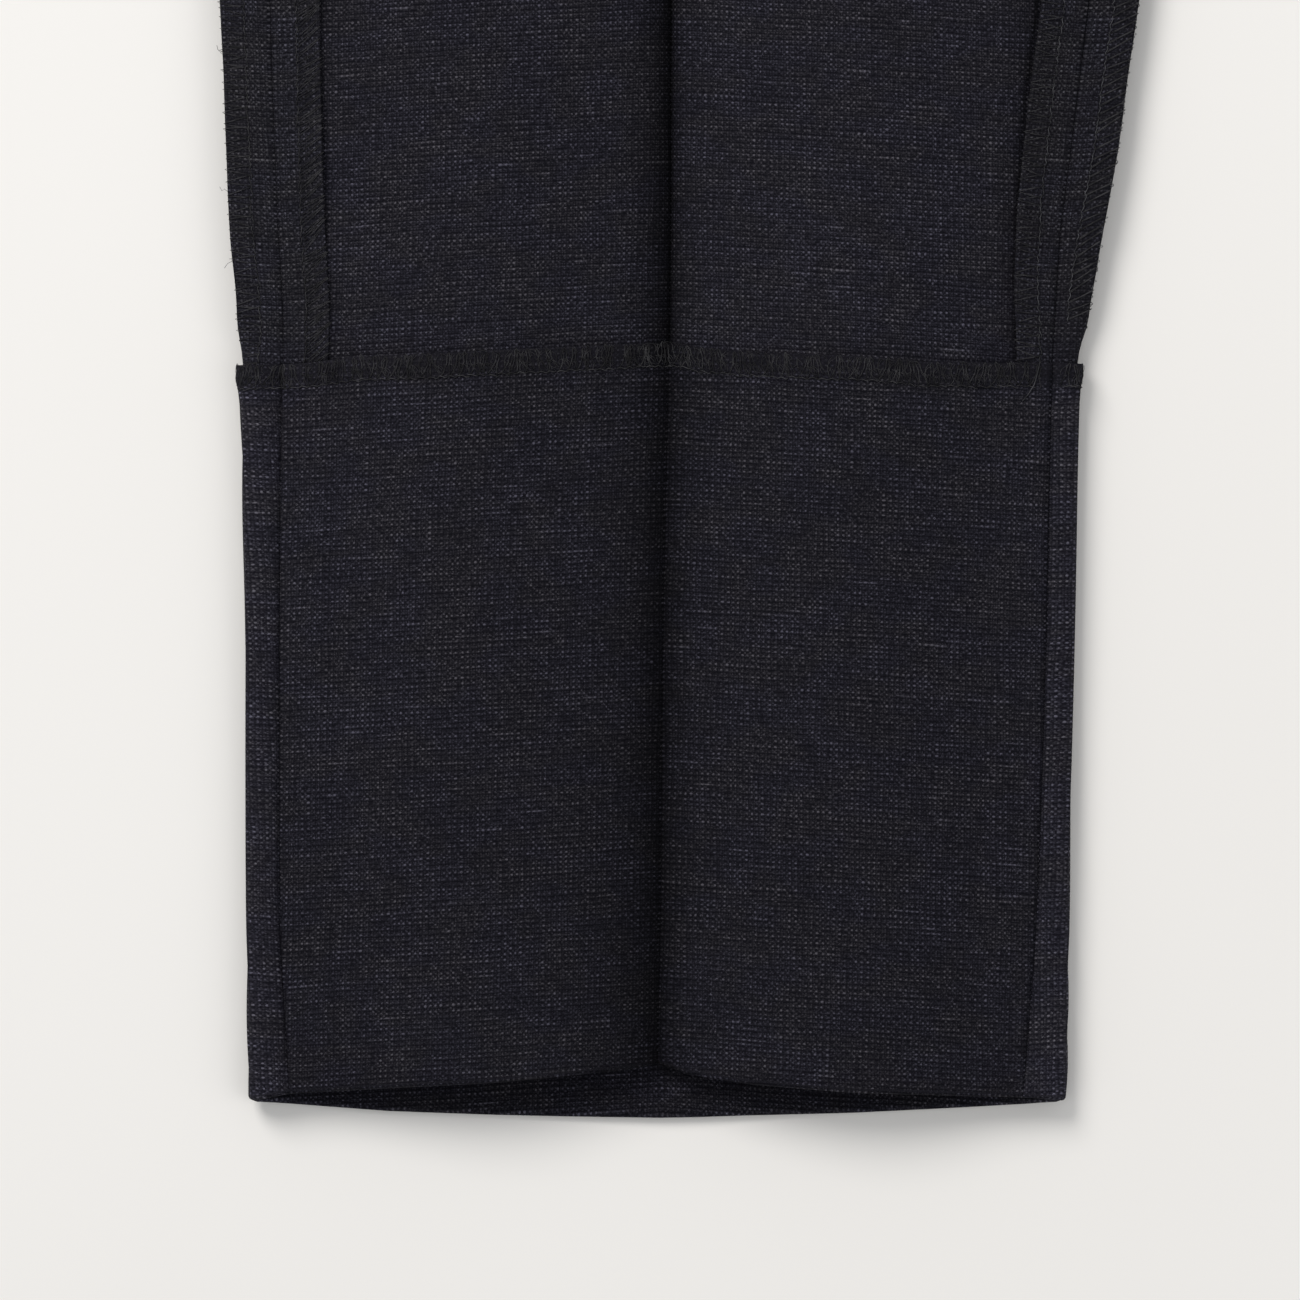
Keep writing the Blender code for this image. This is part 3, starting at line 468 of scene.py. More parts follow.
def weave_group():
    """A hopsack weave of mottled yarns: rows of dots where two yarns come over, uneven and slubby.

    Its inputs are the place on the cloth in metres, the spacing of the dots in millimetres, how far
    the slubs and patches stand out, the share of the light yarn, the dark yarn's colour, and the
    light yarn's colour in its greyer and its bluer stretches.
    """
    tree, given = group("hopsack_weave", "ShaderNodeTree", (
        ("Place", "Vector"), ("Across", "Float", DOTS_ACROSS), ("Along", "Float", DOTS_ALONG),
        ("Slub", "Float", 1.0), ("Patches", "Float", 1.0), ("Contrast", "Float", 1.0),
        ("Dark", "Color"), ("Light", "Color"), ("Cool", "Color")),
        (("Color", "Color"), ("Height", "Float")))
    place = node(tree, "ShaderNodeVectorMath", {0: given["Place"], 1: (1000.0,) * 3},
                 operation="MULTIPLY").outputs[0]
    flat = node(tree, "ShaderNodeSeparateXYZ", {0: place})
    u, v = flat.outputs["X"], flat.outputs["Y"]

    def cloud(a, b, x_size, y_size, detail=1.0):
        spot = node(tree, "ShaderNodeCombineXYZ", {0: calc(tree, "DIVIDE", a, x_size),
                                                   1: calc(tree, "DIVIDE", b, y_size)}).outputs[0]
        return node(tree, "ShaderNodeTexNoise", {"Vector": spot, "Scale": 1.0, "Detail": detail},
                    noise_dimensions="2D").outputs["Fac"]

    def product(*values):
        result = values[0]
        for value in values[1:]:
            result = calc(tree, "MULTIPLY", result, value)
        return result

    def cells(shift, across, along):
        """The number of a cell in each direction, and the place in it from its middle."""
        numbers, inside = [], []
        for distance, size in ((u, across), (v, along)):
            place = calc(tree, "ADD", calc(tree, "DIVIDE", distance, size), shift)
            number = calc(tree, "FLOOR", place)
            numbers.append(number)
            inside.append(calc(tree, "SUBTRACT", calc(tree, "SUBTRACT", place, number), 0.5))
        return numbers, inside

    def round_dot(inside, wide, high):
        """1 in the middle of a cell, and 0 past an oval."""
        parts = [calc(tree, "POWER", calc(tree, "DIVIDE", calc(tree, "ABSOLUTE", at), size), 2.0)
                 for at, size in zip(inside, (wide, high))]
        return calc(tree, "MAXIMUM", calc(tree, "SUBTRACT", 1.0, calc(tree, "ADD", *parts)), 0.0)

    def chance(numbers):
        cell = node(tree, "ShaderNodeCombineXYZ", {0: numbers[0], 1: numbers[1]}).outputs[0]
        return node(tree, "ShaderNodeTexWhiteNoise", {"Vector": cell},
                    noise_dimensions="2D").outputs["Value"]

    # The yarns wander a little from straight lines.
    u = calc(tree, "MULTIPLY_ADD", calc(tree, "SUBTRACT", cloud(u, v, 4.0, 26.0), 0.5), 1.0, u)
    v = calc(tree, "MULTIPLY_ADD", calc(tree, "SUBTRACT", cloud(u, v, 30.0, 4.0), 0.5), 0.9, v)

    # A dot in each cell, with its own strength, in rows and columns that differ in tone
    numbers, inside = cells(0.0, given["Across"], given["Along"])
    strength = calc(tree, "MULTIPLY_ADD", calc(tree, "POWER", chance(numbers), 1.5), 0.66, 0.18)
    row_tone = cloud(u, product(numbers[1], 7.31), 8.0, 1.0, 2.0)
    slub = product(between(tree, row_tone, 0.54, 0.84), given["Slub"])
    row_share = between(tree, cloud(u, product(numbers[1], 3.17), 9.0, 1.0), 0.3, 0.7, 0.45, 1.55)
    column_share = between(tree, cloud(product(numbers[0], 3.71), v, 1.0, 12.0), 0.3, 0.7, 0.72, 1.28)
    strength = calc(tree, "MULTIPLY_ADD", slub, 0.42, product(strength, row_share, column_share))
    dots = product(round_dot(inside, 0.28, 0.24), strength)

    # Dashes where a slub fills its row, faint dots between the others, and the fibres of each yarn
    row = calc(tree, "SUBTRACT", 1.0, between(tree, calc(tree, "ABSOLUTE", inside[1]), 0.05, 0.22))
    dashes = product(row, calc(tree, "POWER", slub, 2.0), 0.42)
    numbers, grain = cells(0.5, given["Across"], given["Along"])
    between_dots = product(round_dot(grain, 0.25, 0.22), calc(tree, "POWER", chance(numbers), 2.5), 0.45)
    half_across, half_along = product(given["Across"], 0.5), product(given["Along"], 0.5)
    numbers, grain = cells(0.25, half_across, half_along)
    fibres = product(round_dot(grain, 0.45, 0.40), chance(numbers), 0.26)
    light = calc(tree, "MAXIMUM", calc(tree, "ADD", dots, dashes),
                 calc(tree, "MAXIMUM", between_dots, fibres))

    # Single hairs break all of it up, and wide soft patches make it lighter and darker.
    numbers, grain = cells(0.4, product(given["Across"], 0.23), product(given["Along"], 0.19))
    hairs = calc(tree, "MULTIPLY_ADD", chance(numbers), 1.6, 0.22)
    gap = between(tree, calc(tree, "ABSOLUTE", inside[1]), 0.28, 0.5, 0.070, 0.0)
    light = product(calc(tree, "ADD", light, gap), hairs)
    patch = calc(tree, "SUBTRACT", cloud(u, v, 19.0, 11.0, 2.0), 0.5)
    patch = calc(tree, "MULTIPLY_ADD", product(patch, given["Patches"]), 0.38, 1.0)
    share = calc(tree, "MINIMUM", product(light, patch, given["Contrast"]), 1.0)
    hue = between(tree, cloud(u, v, 13.0, 8.0, 2.0), 0.36, 0.64)
    colour = blend(tree, share, given["Dark"], blend(tree, hue, given["Light"], given["Cool"]))
    height = calc(tree, "ADD", product(dots, 0.8),
                  calc(tree, "ADD", product(row, 0.3), product(fibres, 1.2)))
    result = tree.nodes.new("NodeGroupOutput")
    tree.links.new(colour, result.inputs["Color"])
    tree.links.new(height, result.inputs["Height"])
    return tree


WEAVE = weave_group()
GREYER = (1.04, 1.03, 0.96)
BLUER = (0.97, 0.98, 1.05)


def relief(tree, shader, height, strength, distance):
    """Lets the heights of a pattern bend the light on a surface."""
    bump = node(tree, "ShaderNodeBump", {"Height": height, "Strength": strength, "Distance": distance})
    tree.links.new(bump.outputs["Normal"], shader.inputs["Normal"])


def suiting(name, dark, light, contrast, sheen):
    """Wool suiting: the weave gives its colour and its relief, overlocking hides the weave, and paleness
    scales the colour, which paints light and shade into it.
    """
    made, shader = surface(name, 0.75)
    tree = made.node_tree
    place = node(tree, "ShaderNodeUVMap", uv_map="cloth").outputs["UV"]
    weave = node(tree, "ShaderNodeGroup", node_tree=WEAVE)
    tree.links.new(place, weave.inputs["Place"])
    weave.inputs["Dark"].default_value = (*dark, 1.0)
    weave.inputs["Light"].default_value = tuple(v * t for v, t in zip(light, GREYER)) + (1.0,)
    weave.inputs["Cool"].default_value = tuple(v * t for v, t in zip(light, BLUER)) + (1.0,)
    weave.inputs["Contrast"].default_value = contrast
    stitched = node(tree, "ShaderNodeAttribute", attribute_name="stitched").outputs["Fac"]
    under = tuple(0.88 * d + 0.12 * l for d, l in zip(dark, light)) + (1.0,)
    colour = blend(tree, calc(tree, "MULTIPLY", stitched, 0.55), weave.outputs["Color"], under)
    # Paleness darkens and lightens the colour: painted shade and painted sheen
    paleness = node(tree, "ShaderNodeAttribute", attribute_name="paleness").outputs["Fac"]
    shaded_colour = node(tree, "ShaderNodeVectorMath", {0: colour, "Scale": paleness}, operation="SCALE").outputs[0]
    tree.links.new(shaded_colour, shader.inputs["Base Color"])
    relief(tree, shader, weave.outputs["Height"], 0.55, 0.00016)
    shader.inputs["Specular IOR Level"].default_value = 0.03
    shader.inputs["Sheen Weight"].default_value = sheen
    shader.inputs["Sheen Roughness"].default_value = 0.45
    return made


cloth = suiting("suiting_wrong_side", (0.0030, 0.0029, 0.0048), (0.070, 0.067, 0.085), 1.0, 0.006)

front_rows, front_flat = zip(*[front_row(height) for height in ROWS])
front, front_flat = np.array(front_rows), np.array(front_flat)


# Soft creases of wear: the middle across and up the leg, the direction in degrees from +X, half the length,
# the width and the depth. A minus depth is a ridge. WEAR deepens all of them, and they bend a little to one
# side.
WEAR = 1.5
CREASE_BEND = 0.0025
CREASES = {
    "front": ((-52.0, 716.0, 38.0, 48.0, 6.0, 0.9), (-70.0, 735.0, 24.0, 56.0, 5.0, 0.7),
              (-44.0, 690.0, 52.0, 36.0, 4.5, -0.5), (-96.0, 762.0, 14.0, 52.0, 7.0, 0.6),
              (-60.0, 790.0, -12.0, 40.0, 6.0, 0.5), (-215.0, 700.0, 118.0, 60.0, 8.0, 0.7),
              (-190.0, 655.0, 104.0, 42.0, 5.0, -0.5), (-222.0, 452.0, 12.0, 34.0, 5.5, 0.7),
              (-205.0, 428.0, -6.0, 42.0, 4.5, 0.6), (-88.0, 436.0, 168.0, 30.0, 5.0, 0.6),
              (-98.0, 408.0, 178.0, 38.0, 6.0, -0.4), (-200.0, 330.0, 82.0, 44.0, 7.0, 0.35),
              (-190.0, 868.0, 72.0, 46.0, 7.0, 0.5), (-62.0, 880.0, 84.0, 50.0, 6.0, 0.4)),
    "back": ((-70.0, 700.0, 35.0, 60.0, 7.0, -0.8), (-100.0, 740.0, 20.0, 60.0, 6.0, -0.6),
             (-60.0, 800.0, -15.0, 50.0, 7.0, -0.7), (-120.0, 880.0, 60.0, 48.0, 6.0, -0.5),
             (-200.0, 640.0, 100.0, 55.0, 7.0, -0.6), (-180.0, 430.0, 8.0, 45.0, 6.0, -0.7),
             (-110.0, 410.0, 170.0, 36.0, 5.0, -0.5), (-160.0, 300.0, 95.0, 40.0, 6.0, -0.3)),
}


def worn_creases(points, side):
    """How far the creases of wear lower each point."""
    sunk = np.zeros(points.shape[:2])
    for x, y, angle, reach, width, depth in CREASES[side]:
        right, up = math.cos(math.radians(angle)), math.sin(math.radians(angle))
        away_x, away_y = points[..., 0] - x, points[..., 1] - y
        lengthways, sideways = away_x * right + away_y * up, away_y * right - away_x * up
        bent = sideways - CREASE_BEND * lengthways ** 2
        sunk += WEAR * depth * np.exp(-(bent / width) ** 2) * smooth(1.3 * (1 - np.abs(lengthways) / reach))
    return sunk


# How high the cloth's soft bumps are, their sizes across and along and their seeds, and then the long
# drags, which are deeper further up the leg
BUMPS = ((0.16, (26.0, 48.0), 11), (0.10, (11.0, 19.0), 12))
DRAG_SIZE = (55.0, 140.0)
DRAG_LOW = 0.25
DRAG_MORE = 0.65


def ease(points):
    """Raises and lowers a grid a little, as cloth that has been worn and pressed does."""
    x, y = points[..., 0], points[..., 1]
    upper = smooth((y - 230.0) / 300.0)
    soft = sum(high * unevenness(x, y, size, seed) for high, size, seed in BUMPS)
    drag = unevenness(x + 0.4 * y, y - 0.3 * x, DRAG_SIZE, 13)
    moved = points.copy()
    moved[..., 2] += soft + (DRAG_LOW + DRAG_MORE * upper) * drag - worn_creases(points, "front")
    return moved


front = ease(front)
front_out = facing(front, 1)


def pinch(flat):
    """How deep the sharp floor of the crease is, by the distance from the crease."""
    return PINCH_DEPTH * np.exp(-np.abs(flat[..., 2]) / PINCH_WIDTH)


def paleness(flat, heights, creased, turned=False):
    """How pale the cloth is drawn at each point, with painted shade and painted sheen in it."""
    if not creased:
        # Painted sheen on the back panel's folds at the sides, more at the inner one
        fold_sheen = np.interp(np.minimum(flat[..., 0], flat[..., 1]), *PAINTED_FOLD_SHEEN.T)
        fold_sheen *= np.where(flat[..., 1] < flat[..., 0], INNER_FOLD_SHEEN, 1.0)
        inside = 0.0 if turned else 1 - smooth((heights - TURN_UP + 10.0) / 8.0)
        return fold_sheen * (1 - inside) + INSIDE_HEM * inside
    # Painted shade in the crease and painted sheen at the sides
    above, top, foot = (np.interp(flat[..., 2], PAINTED_SHADE_AND_SHEEN[:, 0], PAINTED_SHADE_AND_SHEEN[:, k]) for k in (1, 2, 3))
    # Painted shadow of the inner allowance's lifted edge: a dark line and a softer shade beside it
    from_shadow = flat[..., 1] - np.interp(heights, *ALLOWANCE_SHADOW.T)
    above *= 1 - SHADOW_LINE_SHARE * np.exp(-(from_shadow / SHADOW_LINE_WIDTH) ** 2) \
        - SHADE_SHARE * np.exp(-((from_shadow - SHADE_AWAY) / SHADE_WIDTH) ** 2)
    share = smooth((heights - 35.0) / 90.0)
    return top * share + foot * (1 - share) if turned else above


def weave_place(flat, points, turned=False):
    """Where each point lies on the flat cloth. The rows of the weave rise to the crease.

    The turned-up layer is the far end of the cloth, so its weave runs back from TURNED_START.
    """
    across = flat[..., 2]
    up = points[..., 1] + np.abs(across) * ROW_TILT
    return np.stack([across, TURNED_START - up if turned else up], axis=-1)


# How a panel lies in its seams and at its turned-up edge. Both layers dip into the seams, and the outer one
# bulges over the allowances beside them. Its free edge lifts on top, more at the back's side folds, and
# sinks where it lies underneath.
SEAM_DIP = 0.30
TURNED_DIP = 0.55
OVER_ALLOWANCE = 9.4
EDGE_LIFT = 0.30
EDGE_SINK = 0.36
FOLD_LIFT = 0.65


def hem_rows(grid, out, flat):
    """The fold at the hem and the turned-up layer: points, normals, places on the flat and heights."""
    radius = LAYER / 2
    angles = np.linspace(0, math.pi, 9)[1:-1]
    up = np.array([0.0, 1.0, 0.0])
    fold = [grid[-1] + radius * (1 - math.cos(a)) * out[-1] - radius * math.sin(a) * up
            for a in angles]
    fold_out = [math.cos(a) * out[-1] + math.sin(a) * up for a in angles]
    across = grid[-1, :, 0] - HEM_MIDDLE
    top = np.interp(across, TURN_UP_EDGE[:, 0], TURN_UP_EDGE[:, 1])
    wanted = 1.0 + (top - 1.0) * np.linspace(0, 1, TURNED_ROWS)[:, None] ** 0.97
    lie = at(grid, ROWS, wanted)
    lie_out = unit(at(out, ROWS, wanted))
    lie_flat = at(flat, ROWS, wanted)
    return np.array(fold), np.array(fold_out), lie, lie_out, lie_flat, wanted, top


def panel(name, grid, out, flat, bulge, nodes, creased):
    """A whole panel: down the leg, round the hem's fold and up again outside, on both legs."""
    fold, fold_out, lie, lie_out, lie_flat, wanted, top = hem_rows(grid, out, flat)
    seam = np.minimum(flat[..., 0], flat[..., 1])
    down = grid - SEAM_DIP * np.exp(-(seam / 0.6) ** 2)[..., None] * out
    seam = np.minimum(lie_flat[..., 0], lie_flat[..., 1])
    near = 1 - smooth((seam - OVER_ALLOWANCE) / 2.4)
    lift = bulge * near - (TURNED_DIP + bulge) * np.exp(-(seam / 0.55) ** 2)
    lift *= smooth(wanted / 8.0)
    below = smooth((-0.2 - lie_out[..., 2]) / 0.6)
    lift += EDGE_LIFT * smooth((wanted - top + 7.0) / 7.0) * (1 - below)
    lift -= EDGE_SINK * smooth((wanted - top + 10.0) / 4.0) * below
    if not creased:
        at_fold = np.exp(-((seam - 9.0) / 4.0) ** 2) * (1 - below)
        lift += FOLD_LIFT * at_fold * np.exp(-((wanted - top + 2.6) / 2.8) ** 2)
    turned = lie + (LAYER + lift)[..., None] * lie_out
    if creased:
        down[..., 2] -= pinch(flat) * smooth((grid[..., 1] - TURN_UP + 4.0) / 8.0)
        fold[..., 2] -= pinch(flat[-1]) * np.linspace(0.0, 1.0, len(fold))[:, None]
        turned[..., 2] -= pinch(lie_flat)
        out, lie_out = facing(down, 1), facing(turned, -1)
    points = np.concatenate([down, fold, turned])
    normal = np.concatenate([out, fold_out, -lie_out])
    fold_flat = np.tile(flat[-1], (len(fold), 1, 1))
    place = np.concatenate([weave_place(flat, grid), weave_place(fold_flat, fold),
                            weave_place(lie_flat, lie, True)])
    stitched = np.zeros(points.shape[:2])
    stitched[-TURNED_ROWS:] = smooth((wanted - top + 5.4) / 0.6)
    outside = paleness(lie_flat, wanted, creased, True)
    darker = FRONT_EDGE_DARKER if creased else BACK_EDGE_DARKER
    pale = np.concatenate([paleness(flat, grid[..., 1], creased), np.tile(outside[:1], (len(fold), 1)),
                           outside * (1 - darker * stitched[-TURNED_ROWS:])])
    for mirror, leg in LEGS:
        made = cloth_mesh(f"{name}_{leg}_cloth", points, normal, CLOTH / 2, place, cloth, mirror,
                          stitched=stitched, paleness=pale)
        dress(made, [f"{nodes}_{leg}"])
    near_edge = slice(-12, None)
    return turned[near_edge].transpose(1, 0, 2), lie_out[near_edge].transpose(1, 0, 2)


turned_edges = {"front": panel("front_panel", front, front_out, front_flat, 0.55, "front", True)}

# Back panels
# The same suiting. Each back panel is wider than the front, so it rolls round both sides of the leg and
# its seams lie on top. It rests on the floor, and its hem dips lower than the front's.

# How the back cloth comes down to the floor past the turned-up hem under it, its folds at the sides, the
# points round a fold, and the cloth's thickness in the solids, which the heights here allow for
TURN_UP_RAMP = 9.6
TURN_UP_MORE = 7.0
FOLD_RADIUS = 4.5
FOLD_SHARE = 0.75
ROUND_POINTS = 41
PAST_SIDE = 26
SOLID = 1.0
BACK_SEAM = np.array([0, 0.25, 0.55, 1, 2, 3, 4, 5, 6, 7, 8, 9, 10, 10.8, 11.6, 12.6, 13.6, 14.8,
                      16, 18, 21])
BACK_CREASE = np.array([-12, -7, -4, -2, -0.8, 0.2, 1.2, 2.4, 4.5, 7.5, 12])


def back_floor(x, height, here):
    """The middle of the back cloth, on the floor or on the turn-up or an allowance under it."""
    turn_up = 1 - smooth((height - TURN_UP - TURN_UP_MORE) / TURN_UP_RAMP)
    seam_under = 1 - smooth((here["inset_in"] - 6.0) / 2.5)
    seam_under = seam_under * (1 - smooth((here["inner"] - x - 12.0) / 12.0))
    return SOLID / 2 + LAYER * np.maximum(turn_up, seam_under)


def half_round(centre_x, radius, z_from, z_to, side):
    """The fold at a side of the leg, from one layer to the other."""
    angle = np.linspace(0, math.pi, ROUND_POINTS)
    x = centre_x + side * radius * np.sin(angle)
    return np.stack([x, (z_from + z_to) / 2 + (z_from - z_to) / 2 * np.cos(angle)], axis=1)


def back_row(height):
    """Points of one row of the left back panel, from the outer seam round to the inner or seat seam."""
    here = section(height)
    radius_out = min(FOLD_RADIUS, FOLD_SHARE * here["inset_out"])
    wrap = 1 - smooth((height - CROTCH) / (SEAT_START - CROTCH))
    reach = 1.0 if height < CROTCH else min(1.0, 4.0 * wrap)
    radius_in = max(SOLID / 2 * reach, min(FOLD_RADIUS, FOLD_SHARE * here["inset_in"]))
    fold_in = min(here["inner"], -0.15 - SOLID / 2 * reach)
    turn_x, end_x = here["outer"] + radius_out, fold_in - radius_in
    start = np.array([[here["outer"] + here["inset_out"] - SEAM_CLEAR, here["z_out"]]])
    outer = half_round(turn_x, radius_out, here["z_out"], back_floor(turn_x, height, here), -1)
    x = np.unique(np.concatenate([np.linspace(turn_x, end_x, ROW_POINTS), [here["crease"]]]))
    floor_part = np.stack([x, back_floor(x, height, here)], axis=1)
    top_in = here["z_in"] - 0.9 * (1 - smooth(here["inset_in"] / 3.0))
    inner = half_round(end_x, radius_in, floor_part[-1, 1], top_in, 1)
    seam_x = here["inner"] - here["inset_in"] + SEAM_CLEAR
    if seam_x < end_x - 0.01:
        inner = np.concatenate([inner, [[seam_x, top_in]]])
    if here["inset_in"] < 1:
        inner = inner[:PAST_SIDE]
    if wrap > 0.01:
        inner = pick(inner, np.linspace(0, along(inner)[-1] * wrap, ROUND_POINTS - 1))
    else:
        inner = inner[:1]
    path = np.concatenate([start, outer, floor_part[1:], inner[1:]])
    crease_at = along(path)[1 + len(outer) + np.searchsorted(x, here["crease"]) - 1]
    length = along(path)[-1]
    places = places_across(length, crease_at, BACK_SEAM, BACK_CREASE)
    row = pick(path, places)
    across = row[:, 0] - HEM_MIDDLE
    on_top = row[:, 1] > here["z_out"] / 2
    seam = np.clip((HEM_HALF - np.abs(across)) / (HEM_HALF - HEM_SEAM), 0, 1)
    hem = np.where(on_top, hem_slant(np.sign(across) * HEM_SEAM, "front", height) * seam,
                   hem_slant(across, "back", height))
    rise = BACK_RISE * (1 - np.abs(row[:, 0] / here["outer"]))
    rise = np.where(on_top, 0.0, rise) * smooth((height - FLY_BOTTOM) / (WAIST - FLY_BOTTOM))
    flat = np.stack([places, length - places, places - crease_at], axis=1)
    return np.stack([row[:, 0], height + hem + rise, row[:, 1]], axis=1), flat


back_rows, back_flat = zip(*[back_row(height) for height in ROWS])
back, back_flat = np.array(back_rows), np.array(back_flat)
on_floor = 1 - smooth((back[..., 2] - 2.0) / 1.5)
back[..., 2] -= worn_creases(back, "back") * on_floor
back_out = facing(back, -1)
turned_edges["back"] = panel("back_panel", back, back_out, back_flat, 0.15, "back", False)

# Seam allowances
# The raw edges of the panels, 10.5 mm wide, pressed open on both sides of each seam. They come up out
# of the seam, lie on the panels, run in under the turned-up hem and lift a little at their free edge.

# The cloth's thickness here, the height of its middle over the panel's, its start in the seam, places
# across as shares of the width, where the free part at a fold starts, and its droop in degrees for each mm
STRIP = 0.52
STRIP_REST = 0.70
STRIP_START = 0.02
ACROSS = np.array([0, 0.02, 0.05, 0.09, 0.14, 0.22, 0.33, 0.45, 0.55, 0.65, 0.75, 0.85, 0.93, 1.0])
FREE_FROM = 4.0
DROOP = 1.6

# Heights with the width of each allowance there, and how far its free edge lifts off the panel
WIDTHS = {
    "outseam_front": ((138, 9.2), (158, 9.6), (190, 10.1), (231, 10.5), (965, 10.5)),
    "outseam_back": ((138, 8.6), (158, 9.5), (168, 9.7), (180, 10.1), (231, 10.4), (965, 10.5)),
    "inseam_front": ((138, 7.0), (156, 7.4), (168, 8.8), (187, 9.7), (208, 10.2), (965, 10.5)),
    "inseam_back": ((138, 6.2), (156, 6.5), (160, 6.9), (168, 7.2), (175, 8.1), (187, 9.2),
                    (200, 9.8), (209, 9.9), (231, 10.5), (700, 10.5), (720, 9.2), (735, 5.0), (741, 1.2)),
    "rise_front": ((740, 10.0), (965, 10.5)),
    "rise_back": ((740, 10.0), (965, 10.5)),
}
LIFTS = {
    "outseam_front": ((138, 0.0), (156, 0.15), (190, 0.7), (231, 1.3), (400, 0.9), (965, 0.3)),
    "outseam_back": ((138, 0.0), (156, 0.1), (190, 0.3), (965, 0.3)),
    "inseam_front": ((138, 0.0), (156, 0.2), (190, 0.9), (231, 1.1), (400, 0.8), (720, 0.4), (965, 0.3)),
    "inseam_back": ((138, 0.0), (156, 0.1), (190, 0.3), (965, 0.3)),
    "rise_front": ((740, 0.4), (965, 0.3)),
    "rise_back": ((740, 0.2), (965, 0.2)),
}


def from_table(table, x):
    table = np.array(table, float)
    return np.interp(x, table[:, 0], table[:, 1])


def strip_grid(name, low, high, seed):
    """One allowance on the left leg: its points, normals, places on the flat and overlocked share."""
    seam, side = name.split("_")
    grid, out, near = (front, front_out, FRONT_SEAM) if side == "front" else (back, back_out, BACK_SEAM)
    columns = slice(None, len(near)) if seam == "outseam" else slice(None, -len(near) - 1, -1)
    heights = np.concatenate([np.arange(high, 250.0, -8.0), np.arange(min(high, 250.0), low, -2.5), [low]])
    heights = np.unique(heights[heights >= low])[::-1]
    part = at(grid[:, columns], ROWS, heights[:, None])
    part_out = at(out[:, columns], ROWS, heights[:, None])
    width = from_table(WIDTHS[name], heights)
    width = width + 0.12 * unevenness(heights, heights * 0, (9.0, 9.0), seed)
    lift = from_table(LIFTS[name], heights)
    lift = lift * (1 + 0.5 * unevenness(heights, heights * 0, (22.0, 9.0), seed + 1))
    points = np.zeros((len(heights), len(ACROSS), 3))
    for i, row in enumerate(part):
        reach = width[i] * ACROSS
        follow = [np.interp(reach, near, row[:, k]) for k in range(3)]
        above = np.stack([np.interp(reach, near, part_out[i, :, k]) for k in range(3)], axis=1)
        rest = STRIP_START + (STRIP_REST - STRIP_START) * smooth(reach / 0.9) + lift[i] * ACROSS ** 2.5
        points[i] = np.stack(follow, axis=1) + rest[:, None] * above
        if side == "back" and seam != "rise":
            free = smooth((heights[i] - TURN_UP - 1.0) / 12.0)
            points[i] = points[i] * (1 - free) + straightened(points[i].copy(), reach) * free
    normal = facing(points, 1)
    normal = normal * np.sign((normal[:, 1:4] * part_out[:, 1:4]).sum())
    sign = -1 if (seam == "outseam") == (side == "back") else 1
    away = sign * width[:, None] * ACROSS
    place = np.stack([away, heights[:, None] - np.abs(away) * ROW_TILT], axis=-1)
    stitched = 0.25 * smooth((width[:, None] * (ACROSS - 1) + BAND_WIDTH + 0.3) / 0.6)
    return points, normal, place, stitched


def straightened(row, reach):
    """The free part of an allowance at a fold, which stands straight out and droops a little."""
    held = min(np.searchsorted(reach, FREE_FROM), len(reach) - 1)
    ahead = row[held] - row[held - 1]
    angle = math.atan2(ahead[2], abs(ahead[0]))
    steps = np.diff(reach[held:], prepend=reach[held])
    droop = angle - np.radians(DROOP) * np.cumsum(steps)
    row[held:, 0] = row[held, 0] + np.sign(ahead[0]) * np.cumsum(steps * np.cos(droop))
    row[held:, 2] = row[held, 2] + np.cumsum(steps * np.sin(droop))
    return row


# The width of the overlocking, where the allowances end under the turned-up hem and at a side fold, and the
# heights that each one runs between
BAND_WIDTH = 5.0
UNDER_HEM = 138.0
AT_FOLD = 150.0
SPANS = {
    "outseam_front": (UNDER_HEM, WAIST - 0.4), "outseam_back": (AT_FOLD, WAIST - 0.4),
    "inseam_front": (UNDER_HEM, CROTCH), "inseam_back": (AT_FOLD, CROTCH - 1.0),
    "rise_front": (744.0, FLY_BOTTOM - 0.3), "rise_back": (772.0, WAIST - 0.4),
}
INNER_PALE = 1.06
OUTER_PALE = 1.22
allowance_cloth = suiting("suiting_allowance", (0.0030, 0.0029, 0.0046), (0.070, 0.068, 0.083), 1.0, 0.006)
strips = {}
for number, (name, (low, high)) in enumerate(SPANS.items()):
    points, normal, place, stitched = strip_grid(name, low, high, 40 + 3 * number)
    wide = np.linalg.norm(points[:, -1] - points[:, 0], axis=1) > BAND_WIDTH + 1.0
    strips[name] = (points[wide], normal[wide])
    pale = np.full(stitched.shape, INNER_PALE if "inseam" in name else OUTER_PALE)
    for mirror, leg in LEGS:
        made = cloth_mesh(f"{name}_{leg}_allowance", points, normal, STRIP / 2, place, allowance_cloth,
                          mirror, stitched=stitched, paleness=pale)
        dress(made, [f"{name}_{leg}"])

# Overlock stitching
# Dark thread over every raw edge. A looper thread runs out to the edge, round it and back, and a needle
# thread holds it along the inner side of the band. Uneven, with the loops standing out at the edge.

